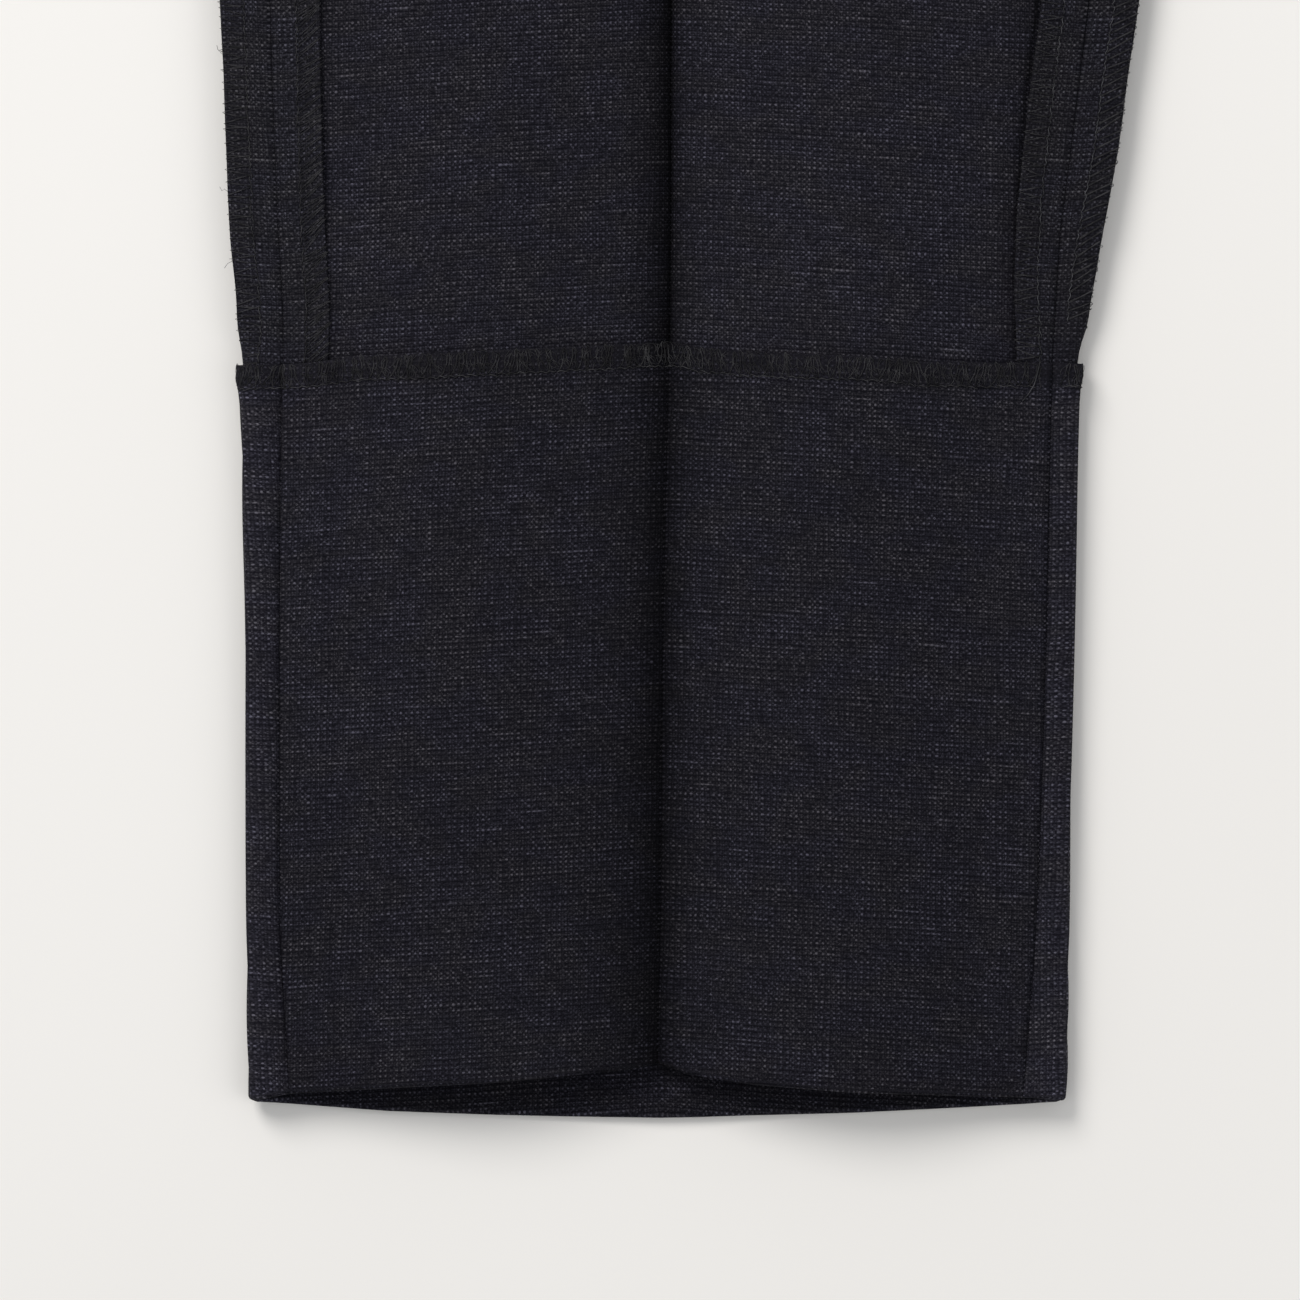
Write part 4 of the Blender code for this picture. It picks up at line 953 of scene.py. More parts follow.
# How far a row stops short of the cloth's end, the threads' radii, and each stitch's path: along the row,
# out from the inner side of the band, and up
SHORT_OF_END = 2.1
NEEDLE_THREAD = 0.10
FILAMENT = 0.05
STITCH_LEGS = {
    "straight": ((0.0, 0.1, 0.10), (0.38, 2.4, 0.22), (0.8, 4.7, 0.14), (0.98, 5.45, -0.03),
                 (1.2, 5.0, 0.08), (1.6, 2.8, 0.24), (2.1, 0.1, 0.10)),
    "slanted": ((0.0, 0.1, 0.10), (-1.5, 2.5, 0.24), (-3.0, 4.7, 0.14), (-3.2, 5.4, -0.03),
                (-2.9, 5.0, 0.08), (-1.1, 2.7, 0.26), (0.7, 0.2, 0.12)),
    "spaced": ((0.0, 0.1, 0.10), (-1.4, 2.5, 0.26), (-2.9, 4.8, 0.16), (-3.0, 5.15, 0.0),
               (-2.75, 4.9, 0.06), (-1.2, 2.4, 0.16), (0.2, 0.2, 0.10)),
    "looped": ((0.0, 0.1, 0.06), (0.6, 1.2, 0.16), (0.9, 3.0, 0.18), (0.8, 4.7, 0.10),
               (1.1, 5.25, 0.0), (1.5, 4.3, 0.14), (1.5, 2.4, 0.2), (2.1, 0.2, 0.08)),
    "edge": ((-0.22, 4.95, 0.10), (-0.08, 5.2, 0.06), (0.12, 5.2, 0.06), (0.26, 4.95, 0.10)),
    "needle": ((-0.1, 0.0, 0.08), (0.5, 0.2, 0.22), (1.1, 0.05, 0.24), (1.6, -0.16, 0.22), (2.2, 0.0, 0.08)),
    "plain": ((0.0, 0.0, -0.1), (0.3, 0.02, 0.12), (1.1, 0.05, 0.18), (1.9, 0.02, 0.12), (2.2, 0.0, -0.1)),
    "hairs": ((0.0, -0.5, 0.0), (0.18, -0.17, 0.14), (0.18, 0.17, 0.16), (0.0, 0.5, 0.02)),
}
PITCHES = {"straight": 2.1, "slanted": 1.7, "spaced": 1.9, "looped": 2.1, "edge": 1.05, "needle": 2.1,
           "plain": 2.7, "hairs": 2.4}

# The strands of a stitch's soft thread: how far each one lies aside and out, and how it is lifted
STRANDS = {
    "straight": ((-0.09, -0.05, 0.0), (0.12, 0.1, 0.05)),
    "slanted": ((-0.10, -0.05, 0.0), (0.14, 0.1, 0.05)),
    "looped": ((-0.12, -0.05, 0.0), (0.15, 0.1, 0.03)),
}
SPACED_THREAD = 0.085
HAIR = 0.04
HAIRS_IN_TUFT = 9


def thread(path, radius, sides=3):
    """A thin tube along a path: its corners and its faces."""
    path = np.array(path, float)
    ahead = unit(np.gradient(path, axis=0))
    side = np.cross(ahead, (0.0, 0.0, 1.0))
    side /= np.maximum(np.linalg.norm(side, axis=1, keepdims=True), 0.05)
    up = np.cross(side, ahead)
    turns = np.arange(sides) * 2 * math.pi / sides + math.pi / 2
    ring = [path + radius * (math.cos(a) * side + math.sin(a) * up) for a in turns]
    corners = np.stack(ring, axis=1).reshape(-1, 3)
    faces = [(i * sides + k, i * sides + (k + 1) % sides, (i + 1) * sides + (k + 1) % sides,
              (i + 1) * sides + k) for i in range(len(path) - 1) for k in range(sides)]
    ends = [tuple(range(sides))[::-1], tuple(range(len(corners) - sides, len(corners)))]
    return corners, faces + ends


def joined(parts):
    """Several sets of corners and faces as one."""
    corners, faces, count = [], [], 0
    for part, part_faces in parts:
        corners.append(part)
        faces += [tuple(count + k for k in face) for face in part_faces]
        count += len(part)
    return np.concatenate(corners), faces


def plain_mesh(name, corners, faces, finish=None):
    """A mesh of the corners and faces, in one finish."""
    mesh = bpy.data.meshes.new(name)
    mesh.from_pydata(corners.tolist(), [], faces)
    if finish is not None:
        mesh.materials.append(finish)
    return mesh


def stitch(kind):
    """The pattern of one stitch, in millimetres. It is never linked to the scene."""
    leg = np.array(STITCH_LEGS[kind])
    if kind in STRANDS:
        corners, faces = joined([thread(leg + np.array(aside) * np.sin(leg[:, 1:2] * 1.7 + k), FILAMENT)
                                 for k, aside in enumerate(STRANDS[kind])])
    elif kind == "hairs":
        chance = np.random.default_rng(5)
        hairs = []
        for k in range(HAIRS_IN_TUFT):
            size, lean = chance.uniform(1.2, 3.4), chance.uniform(-0.75, 0.55)
            across, out = leg[:, 0] * size * chance.choice([-1, 1]), leg[:, 1] * size
            middle = 5.1 - size / 2 - 3.4 * chance.random() ** 1.6
            path = np.stack([across * math.cos(lean) + out * math.sin(lean) + chance.uniform(0, 2.4),
                             out * math.cos(lean) - across * math.sin(lean) + max(middle, size / 2),
                             leg[:, 2] + chance.uniform(0, 0.1)], axis=1)
            hairs.append(thread(path, HAIR))
        corners, faces = joined(hairs)
    else:
        corners, faces = thread(leg, SPACED_THREAD if kind == "spaced" else NEEDLE_THREAD)
    return bpy.data.objects.new(f"{kind}_stitch", plain_mesh(f"{kind}_stitch", corners, faces))


def repeated(tree, shape, finish, places):
    """Ends a tree with real copies of an object's shape at each place, in one finish."""
    source = node(tree, "GeometryNodeObjectInfo", {"Object": shape}).outputs["Geometry"]
    copies = node(tree, "GeometryNodeInstanceOnPoints", {"Instance": source, **places}).outputs[0]
    real = node(tree, "GeometryNodeRealizeInstances", {"Geometry": copies}).outputs[0]
    done = node(tree, "GeometryNodeSetMaterial", {"Geometry": real, "Material": finish})
    result = tree.nodes.new("NodeGroupOutput")
    tree.links.new(done.outputs[0], result.inputs[0])
    return tree


def grown(tree, values):
    """The plain mesh that a Geometry Nodes tree makes with the given inputs, in millimetres."""
    holder = bpy.data.objects.new(tree.name, bpy.data.meshes.new(tree.name))
    bpy.context.scene.collection.objects.link(holder)
    growth = holder.modifiers.new("growth", "NODES")
    growth.node_group = tree
    for item in tree.interface.items_tree:
        if item.in_out == "INPUT":
            growth[item.identifier] = values[item.name]
    graph = bpy.context.evaluated_depsgraph_get()
    mesh = bpy.data.meshes.new_from_object(holder.evaluated_get(graph))
    bpy.data.objects.remove(holder)
    return mesh


def stitch_row_tree():
    """A straight row of stitches, each one slightly turned, shifted and stretched."""
    tree, given = group("overlock_row", "GeometryNodeTree", (
        ("Stitch", "Object"), ("Length", "Float"), ("Pitch", "Float"), ("Wander", "Float"),
        ("Turn", "Float"), ("Seed", "Int"), ("Material", "Material")), (("Geometry", "Geometry"),))
    count = calc(tree, "DIVIDE", given["Length"], given["Pitch"])
    step = node(tree, "ShaderNodeCombineXYZ", {0: given["Pitch"]}).outputs[0]
    line = node(tree, "GeometryNodeMeshLine", {"Count": count, "Offset": step}).outputs[0]

    def chance(low, high, extra, kind="FLOAT"):
        """A random number or vector between two, different for each stitch."""
        first, second, result = (0, 1, 0) if kind == "FLOAT_VECTOR" else (2, 3, 1)
        made = node(tree, "FunctionNodeRandomValue", data_type=kind)
        seed = calc(tree, "ADD", given["Seed"], extra)
        for k, value in ((first, low), (second, high), ("Seed", seed)):
            if isinstance(value, bpy.types.NodeSocket):
                tree.links.new(value, made.inputs[k])
            else:
                made.inputs[k].default_value = value
        return made.outputs[result]

    back = calc(tree, "MULTIPLY", given["Wander"], -1.0)
    shift = node(tree, "ShaderNodeCombineXYZ", {0: chance(back, given["Wander"], 1.0),
                                                1: chance(-0.15, 0.15, 2.0), 2: chance(0.0, 0.08, 3.0)})
    line = node(tree, "GeometryNodeSetPosition", {"Geometry": line, "Offset": shift.outputs[0]}).outputs[0]
    turn_back = calc(tree, "MULTIPLY", given["Turn"], -1.0)
    turn = node(tree, "ShaderNodeCombineXYZ", {2: chance(turn_back, given["Turn"], 4.0)}).outputs[0]
    size = chance((0.75, 0.93, 0.7), (1.2, 1.03, 1.35), 5.0, "FLOAT_VECTOR")
    return repeated(tree, given["Stitch"], given["Material"], {"Points": line, "Rotation": turn,
                                                               "Scale": size})


STITCH_ROW = stitch_row_tree()
STITCHES = {kind: stitch(kind) for kind in STITCH_LEGS}


def stitch_row(kind, length, wander, turn, seed, finish):
    """The plain mesh of a straight row of stitches."""
    return grown(STITCH_ROW, {"Stitch": STITCHES[kind], "Length": length, "Pitch": PITCHES[kind],
                              "Wander": wander, "Turn": turn, "Seed": seed, "Material": finish})


def laid_on(mesh, points, normal, inset, surface_up):
    """Bends a flat row onto a grid of cloth: X runs down the grid and Y across it from the inset."""
    flat = np.empty(len(mesh.vertices) * 3)
    mesh.vertices.foreach_get("co", flat)
    flat = flat.reshape(-1, 3)
    lengths = along(points[:, -1])
    row = np.interp(flat[:, 0], lengths, np.arange(len(points)))
    i = np.minimum(row.astype(int), len(points) - 2)
    s = (row - i)[:, None]
    reach = np.concatenate([np.zeros((len(points), 1)),
                            np.cumsum(np.linalg.norm(np.diff(points, axis=1), axis=2), axis=1)], axis=1)
    wanted = flat[:, 1] + (reach[i, -1] * (1 - s[:, 0]) + reach[i + 1, -1] * s[:, 0]) - inset
    share = np.clip(wanted / reach[i, -1], 0, None)
    places = reach[0] / reach[0, -1]
    column = np.interp(share, places, np.arange(len(places)))
    j = np.minimum(column.astype(int), len(places) - 2)
    t = (column - j)[:, None]

    def mix(grid):
        upper = grid[i, j] * (1 - t) + grid[i, j + 1] * t
        lower = grid[i + 1, j] * (1 - t) + grid[i + 1, j + 1] * t
        return upper * (1 - s) + lower * s

    beyond = (np.maximum(share - 1, 0) * reach[i, -1])[:, None]
    ahead = unit(points[i, -1] - points[i, -2])
    return mix(points) + (flat[:, 2] + surface_up)[:, None] * mix(normal) + beyond * ahead


def thread_finish(name, colour, gloss):
    """Sewing thread: twisted, a little shiny, and uneven in tone along its length."""
    made, shader = surface(name, 0.55)
    tree = made.node_tree
    place = node(tree, "ShaderNodeTexCoord").outputs["Object"]
    cloud = node(tree, "ShaderNodeTexNoise", {"Vector": place, "Scale": 420.0, "Detail": 2.0})
    tone = between(tree, cloud.outputs["Fac"], 0.38, 0.66)
    tint(tree, shader, tone, [0.40 * part for part in colour], colour)
    twist = node(tree, "ShaderNodeTexNoise", {"Vector": place, "Scale": 3000.0})
    relief(tree, shader, twist.outputs["Fac"], 0.5, 0.0001)
    shader.inputs["Specular IOR Level"].default_value = gloss
    return made


overlock_thread = thread_finish("overlock_thread", (0.064, 0.063, 0.068), 0.10)
needle_thread = thread_finish("needle_thread", (0.092, 0.092, 0.101), 0.12)


def sewn(name, mesh, places, mirror):
    """A stitched row as a piece, once its points have been laid in place, none of them in the floor."""
    places = np.maximum(places, (-math.inf, -math.inf, 0.02))
    if mirror:
        places = places * (-1.0, 1.0, 1.0)
        mesh.flip_normals()
    places = (places - (0.0, Y_MIDDLE, 0.0)) * 0.001
    mesh.vertices.foreach_set("co", places.astype(np.float32).ravel())
    mesh.name = name
    mesh.shade_smooth()
    mesh.update()
    made = bpy.data.objects.new(name, mesh)
    bpy.context.scene.collection.objects.link(made)
    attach(made, "root")
    return made


# The stitches of each band, with how far each kind is shifted along the row and turned
BAND_KINDS = {"outseam_back": ("straight",), "inseam_front": ("straight",),
              "inseam_back": ("spaced", "edge"), "turn_up": ("looped", "hairs")}
BAND_WANDER = {"straight": (0.3, 0.16), "slanted": (0.35, 0.14), "spaced": (0.15, 0.05),
               "edge": (0.25, 0.2), "looped": (0.6, 0.35), "hairs": (1.0, 0.3), "needle": (0.1, 0.10)}


def overlocked(name, kinds, points, normal, above, seed, needle, mirror):
    """Every thread of the overlocking along the last column of a grid of cloth."""
    length = along(points[:, -1])[-1] - SHORT_OF_END
    rows = [(kind, needle if kind == "edge" else overlock_thread) for kind in kinds] + [("needle", needle)]
    for number, (kind, finish) in enumerate(rows):
        mesh = stitch_row(kind, length, *BAND_WANDER[kind], seed + 7 * number, finish)
        places = laid_on(mesh, points, normal, BAND_WIDTH, above)
        sewn(f"{name}_{kind}_overlock", mesh, places, mirror)


def overlocked_rim(name, rim, inward, rim_out, above, seed, mirror=False):
    """Plain overlocking along a raw rim, with the inward and upward way at each of its points."""
    overlocked(name, ("straight",), np.stack([rim + BAND_WIDTH * inward, rim], axis=1),
               np.stack([rim_out, rim_out], axis=1), above, seed, overlock_thread, mirror)


def under_overlock(to_edge):
    """1 where overlocking covers the cloth, by the distance from the raw edge, and 0 past it."""
    return smooth((BAND_WIDTH + 0.2 - to_edge) / 0.8)


for mirror, leg in LEGS:
    for number, (name, (points, normal)) in enumerate(strips.items()):
        needle = needle_thread if "inseam" in name else overlock_thread
        overlocked(f"{name}_{leg}", BAND_KINDS.get(name, ("slanted",)), points, normal, STRIP / 2,
                   60 + number, needle, mirror)
    for number, (side, (points, normal)) in enumerate(turned_edges.items()):
        overlocked(f"turn_up_{side}_{leg}", BAND_KINDS["turn_up"], points, normal, CLOTH / 2, 80 + number,
                   overlock_thread, mirror)

# Ends of thread that were never trimmed: one lies over the hem's edge beside the inner seam, and short
# ones stand out from the outer allowance. The height of each point is above the cloth under it.
LOOSE_ENDS = {
    "loose_thread": ((-84.8, 155.4, 0.5), (-85.3, 153.2, 0.9), (-86.0, 150.6, 0.8), (-87.2, 148.6, 0.6),
                     (-88.5, 147.0, 0.5)),
    "loose_fibre_1": ((-255.0, 190.9, 0.2), (-255.9, 191.6, 0.5), (-256.4, 191.2, 0.6), (-256.9, 192.1, 0.5)),
    "loose_fibre_2": ((-254.2, 176.5, 0.2), (-255.2, 176.0, 0.5), (-255.9, 175.0, 0.5)),
    "loose_fibre_3": ((-256.4, 220.0, 0.2), (-257.3, 220.9, 0.4), (-257.5, 221.8, 0.4)),
}
for number, (name, path) in enumerate(LOOSE_ENDS.items()):
    path = np.array(path)
    lies_on = turned_edges["front"][0].reshape(-1, 3) if number == 0 else strips["outseam_back"][0][:, -1]
    under = [lies_on[np.argmin(np.hypot(*(lies_on[:, :2] - point[:2]).T))][2] for point in path]
    path[:, 2] += np.array(under)
    corners, faces = thread(path, NEEDLE_THREAD if number == 0 else FILAMENT)
    sewn(name, plain_mesh(name, corners, faces, needle_thread), corners, False)

# Waistband
# A doubled band of the same suiting, 38 mm deep, sewn to the top of each half and edge-stitched. Its
# inside shows. The underlap, a tab on the right half, lies over the left half and buttons there.

# The distance between pieces, the band's thickness, half that of its plies, its fold at the side, its
# edge stitching's distance from the edge and its dip, and the points along it
GAP = 0.3
BAND_THICK = 3.0
BAND_PLIES = 1.4
BAND_FOLD = 5.0
EDGE_STITCH = 2.0
STITCH_DIP = 0.30
BAND_PLACES = 120
BAND_TOP = WAIST + GAP + BAND

# The underlap's reach to both sides of the centre, its rounded corners, its height over the front and the
# points along its stitching
UNDERLAP = 42.0
UNDERLAP_SEAT = 26.0
UNDERLAP_ROUND = 4.0
FRONT_HEIGHT = 10.0
LAP_HEIGHT = FRONT_HEIGHT + BAND_THICK + GAP
LAP_POINTS = 60

DOUBLED_EDGE = np.array([0, 0.1, 0.3, 0.65, 1.1, 1.6, 2.0, 2.5, 3.4, 4.6])
sewing_thread = thread_finish("sewing_thread", (0.050, 0.049, 0.056), 0.15)


def doubled(length, middle):
    """Places across a doubled piece, close together at its two folded or turned edges."""
    between = np.linspace(DOUBLED_EDGE[-1], length - DOUBLED_EDGE[-1], middle + 2)[1:-1]
    return np.concatenate([DOUBLED_EDGE, between, length - DOUBLED_EDGE[::-1]])


def rounded(distance, half, dip=STITCH_DIP):
    """Half the thickness at a distance from an edge: round at the edge and drawn in along a seam."""
    share = np.clip(distance / half, 0, 1)
    return half * np.sqrt(np.maximum(1 - (1 - share) ** 2, 0.01)) \
        - dip * np.exp(-((distance - EDGE_STITCH) / 0.8) ** 2) * share


def band_row(height):
    """One row of the left half, from the centre front round the side to the centre back."""
    here = section(height)
    turn_x = here["outer"] + BAND_FOLD
    turn = half_round(turn_x, BAND_FOLD, here["z_out"], BAND_THICK / 2, -1)
    path = np.concatenate([[[-GAP / 2, here["z_out"]]], turn, [[-GAP / 2, BAND_THICK / 2]]])
    path = pick(path, np.linspace(0, along(path)[-1], BAND_PLACES))
    back_part = smooth((here["z_out"] * 0.6 - path[:, 1]) / (here["z_out"] * 0.3))
    rise = BACK_RISE * (1 - np.abs(path[:, 0] / here["outer"])) * back_part
    return np.stack([path[:, 0], height + rise, path[:, 1]], axis=1)


def seam_along(name, path, side, up, kind, seed, mirror=False, wander=0.12, turn=0.05):
    """A row of stitches along a path, with the side way and the upward way at each of its points."""
    grid = np.stack([path - side, path + side], axis=1)
    mesh = stitch_row(kind, along(path)[-1] - PITCHES[kind], wander, turn, seed, sewing_thread)
    places = laid_on(mesh, grid, np.stack([up, up], axis=1), 1.0, 0.0)
    return sewn(name, mesh, places, mirror)


depths = doubled(BAND, 5)
band = np.array([band_row(BAND_TOP - depth) for depth in depths])
band_out = facing(band, -1)
wave = unevenness(along(band[10])[None, :] + 0 * depths[:, None], depths[:, None] + 0 * band[..., 0],
                  (21.0, 30.0), 21)
band = band + (0.20 * wave * smooth(band[..., 2] / 6.0))[..., None] * band_out
band_half = rounded(np.minimum(depths, BAND - depths), BAND_PLIES)[:, None]
band_place = np.stack([np.tile(along(band[10]), (len(depths), 1)), band[..., 1]], axis=-1)
for mirror, leg in LEGS:
    made = cloth_mesh(f"waistband_{leg}_cloth", band, band_out, band_half, band_place, cloth, mirror)
    dress(made, [f"waistband_{leg}"])
    for number, (edge, row) in enumerate((("top", 6), ("foot", len(depths) - 7))):
        inward = np.tile([0.0, 1.0, 0.0], (BAND_PLACES, 1))
        path = band[row] + (BAND_PLIES - STITCH_DIP) * band_out[row]
        seam_along(f"waistband_{leg}_{edge}_stitching", path, inward, band_out[row], "plain",
                   90 + number, mirror)

lap_x = UNDERLAP_SEAT - doubled(UNDERLAP + UNDERLAP_SEAT, 14)[::-1]
lap_middle = BAND_TOP - BAND / 2
into_tip = np.clip(UNDERLAP_ROUND - (lap_x + UNDERLAP), 0, UNDERLAP_ROUND)
tip_cut = UNDERLAP_ROUND - np.sqrt(UNDERLAP_ROUND ** 2 - into_tip ** 2)
squeeze = 1 - tip_cut / (BAND / 2)
lap = np.zeros((len(depths), len(lap_x), 3))
lap[..., 0] = lap_x
lap[..., 1] = lap_middle + (BAND / 2 - depths)[:, None] * squeeze
lap[..., 2] = LAP_HEIGHT + 0.15 * unevenness(lap[..., 0], lap[..., 1], (17.0, 23.0), 22)
lap_out = facing(lap, 1)
to_edge = np.minimum(np.minimum(depths, BAND - depths)[:, None],
                     np.minimum(lap_x + UNDERLAP, UNDERLAP_SEAT - lap_x))
made = cloth_mesh("waist_underlap_cloth", lap, lap_out, rounded(to_edge, BAND_PLIES), lap[..., :2], cloth)
dress(made, ["waist_underlap"])
turn = np.linspace(math.pi / 2, 3 * math.pi / 2, 9)
tip_x, tip_y = UNDERLAP_ROUND - UNDERLAP, BAND / 2 - UNDERLAP_ROUND
corner = UNDERLAP_ROUND - EDGE_STITCH
path = [(UNDERLAP_SEAT - EDGE_STITCH, BAND / 2 - EDGE_STITCH)]
path += [(tip_x + corner * math.cos(a), (tip_y if a < math.pi else -tip_y) + corner * math.sin(a))
         for a in turn]
path += [(UNDERLAP_SEAT - EDGE_STITCH, EDGE_STITCH - BAND / 2)]
path = np.array([(x, lap_middle + y, LAP_HEIGHT + BAND_PLIES - STITCH_DIP) for x, y in path])
path = pick(path, np.linspace(0, along(path)[-1], LAP_POINTS))
side = np.cross(unit(np.gradient(path, axis=0)), (0.0, 0.0, 1.0))
seam_along("waist_underlap_stitching", path, side, np.tile([0.0, 0.0, 1.0], (LAP_POINTS, 1)),
           "plain", 93)

# Belt loops
# Narrow doubled strips of suiting, sewn to the face side of the band and under its lower edge. The
# garment is inside out, so they lie inside: three on the back and four in front.

LOOP_WIDTH = 10.0
LOOP_HALF = 0.7
LOOP_BELOW = 6.0
LOOP_SHORT = 1.5
LOOP_ARCH = 0.7
LOOP_ROWS = 15

# The middle of each loop across the garment, and whether it is in front
LOOP_PLACES = ((0.0, False), (-118.0, False), (118.0, False),
               (-88.0, True), (88.0, True), (-190.0, True), (190.0, True))
LOOP_ACROSS = np.array([-5, -4.9, -4.6, -4.1, -3.2, -1.6, 0, 1.6, 3.2, 4.1, 4.6, 4.9, 5])

for number, (centre, in_front) in enumerate(LOOP_PLACES, start=1):
    here = section(WAIST + GAP + BAND / 2)
    rise = 0.0 if in_front else BACK_RISE * (1 - abs(centre / here["outer"]))
    part = np.linspace(0, 1, LOOP_ROWS)[:, None]
    away = -1 if in_front else 1
    seat = here["z_out"] - BAND_THICK / 2 - GAP if in_front else BAND_THICK + GAP
    foot, head = WAIST - LOOP_BELOW + rise, BAND_TOP - LOOP_SHORT + rise
    loop = np.zeros((LOOP_ROWS, len(LOOP_ACROSS), 3))
    loop[..., 0] = centre + LOOP_ACROSS
    loop[..., 1] = head + (foot - head) * part
    loop[..., 2] = seat + away * (LOOP_HALF + 0.1 + LOOP_ARCH * np.sin(math.pi * part))
    loop_out = facing(loop, away)
    loop_half = rounded(LOOP_WIDTH / 2 - np.abs(LOOP_ACROSS), LOOP_HALF, 0.15)
    made = cloth_mesh(f"belt_loop_{number}_cloth", loop, loop_out, loop_half, loop[..., :2], cloth)
    dress(made, [f"belt_loop_{number}"])
    for edge, column in (("left", 4), ("right", -5)):
        path = loop[:, column] + LOOP_HALF * loop_out[:, column]
        side = np.tile([1.0, 0.0, 0.0], (LOOP_ROWS, 1))
        seam_along(f"belt_loop_{number}_{edge}_stitching", path, side, loop_out[:, column], "plain",
                   100 + number)

# Side pocket bags
# Two plies of thin pocketing cotton behind each side pocket. They hang from the band along the outer
# seam and lie loose on the front, with a curved foot that is sewn and overlocked.

BAG_HALF = 0.55
BAG_RAISED = 1.5
BAG_TOP = WAIST - GAP
BAG_PUCKER = 0.16
BAG_BILLOW = 0.35
BAG_SLACK = 0.25

# Distances from the outer seam, with the bag's lowest height there
BAG_FOOT = np.array([(10.9, 722.0), (24.0, 711.5), (38.0, 706.0), (58.0, 702.0), (78.0, 705.0),
                     (98.0, 718.0), (110.0, 733.0), (117.0, 750.0)])


def over_front(places, heights, raised, edge):
    """Points and normals over the left front, by height and distance from edge 0, outer, or 1, inner."""
    points, normals = np.zeros((*places.shape, 3)), np.zeros((*places.shape, 3))
    for j in range(places.shape[1]):
        column = heights[:, j][:, None]
        rows, outs, flats = (at(grid, ROWS, column) for grid in (front, front_out, front_flat))
        for i in range(places.shape[0]):
            order = slice(None) if edge == 0 else slice(None, None, -1)
            here = flats[i, order, edge]
            for k in range(3):
                points[i, j, k] = np.interp(places[i, j], here, rows[i, order, k])
                normals[i, j, k] = np.interp(places[i, j], here, outs[i, order, k])
    normals = unit(normals)
    return points + raised[..., None] * normals, normals


def woven(name, dark, light, spacing, slub, contrast, sheen):
    """A finer cloth from the same weave group."""
    made = suiting(name, dark, light, contrast, sheen)
    weave = next(item for item in made.node_tree.nodes if item.type == "GROUP")
    weave.inputs["Across"].default_value, weave.inputs["Along"].default_value = spacing
    weave.inputs["Slub"].default_value = slub
    return made


pocketing = woven("pocketing_cotton", (0.009, 0.0092, 0.0125), (0.042, 0.042, 0.052), (0.42, 0.40),
                  0.25, 0.8, 0.01)
bag_across = np.concatenate([BAG_FOOT[0, 0] + np.array([0, 0.15, 0.5, 1.2, 2.5, 5.0]),
                             np.linspace(19.0, 108.0, 18), BAG_FOOT[-1, 0] - np.array([6, 3, 1.2, 0.4, 0])])
foot = np.array([curve_through(BAG_FOOT[:, 0], BAG_FOOT[:, 1], x) for x in bag_across])
down_share = np.concatenate([np.linspace(0, 0.93, 30), [0.955, 0.975, 0.987, 0.995, 0.998, 1.0]])
bag_heights = BAG_TOP + (foot - BAG_TOP) * down_share[:, None]
bag_places = np.tile(bag_across, (len(down_share), 1))
from_foot = (bag_heights - foot) * 0.8
to_edge = np.minimum(np.minimum(from_foot, bag_across - bag_across[0]), bag_across[-1] - bag_across)
slack = smooth((BAG_TOP - bag_heights) / 60.0) * smooth(to_edge / 8.0)
pucker = BAG_PUCKER * unevenness(bag_places, bag_heights, (7.0, 9.0), 31) * (1 - smooth(to_edge / 14.0))
billow = slack * (BAG_BILLOW * unevenness(bag_places, bag_heights, (28.0, 45.0), 32) + BAG_SLACK)
bag, bag_out = over_front(bag_places, bag_heights, BAG_RAISED + pucker + billow, 0)
bag_half = rounded(to_edge, BAG_HALF, 0.22)
bag_stitched = under_overlock(to_edge) * smooth((BAG_TOP - 6.0 - bag_heights) / 6.0)
for mirror, leg in LEGS:
    made = cloth_mesh(f"pocket_bag_{leg}_cloth", bag, bag_out, bag_half,
                      np.stack([bag_places, bag_heights], axis=-1), pocketing, mirror,
                      stitched=bag_stitched)
    dress(made, [f"pocket_bag_{leg}"])
    rim, rim_out = (np.concatenate([grid[4:, -1], grid[-1, ::-1][1:]]) for grid in (bag, bag_out))
    side = np.cross(unit(np.gradient(rim, axis=0)), rim_out)
    inner_line = rim + (BAND_WIDTH + 1.0) * side + BAG_HALF * rim_out
    seam_along(f"pocket_bag_{leg}_stitching", inner_line, side, rim_out, "plain", 121, mirror)
    overlocked_rim(f"pocket_bag_{leg}", rim, side, rim_out, 0.3, 120, mirror)

# Fly
# The left front is faced with suiting and carries the zip. The right front carries a doubled shield,
# which reaches over the closed zip and lifts over its slider. All of it lies on the wrong side.

FLY_TOP = WAIST - GAP
FLY_REACH = 42.0
FACING_CURVE = 15.0
FACING_RAISED = 1.3
FACING_HALF = 0.4
SHIELD_BEYOND = 10.5
SHIELD_HALF = 0.85
SHIELD_LIFT = 2.1
SLIDER_FROM = 912.0

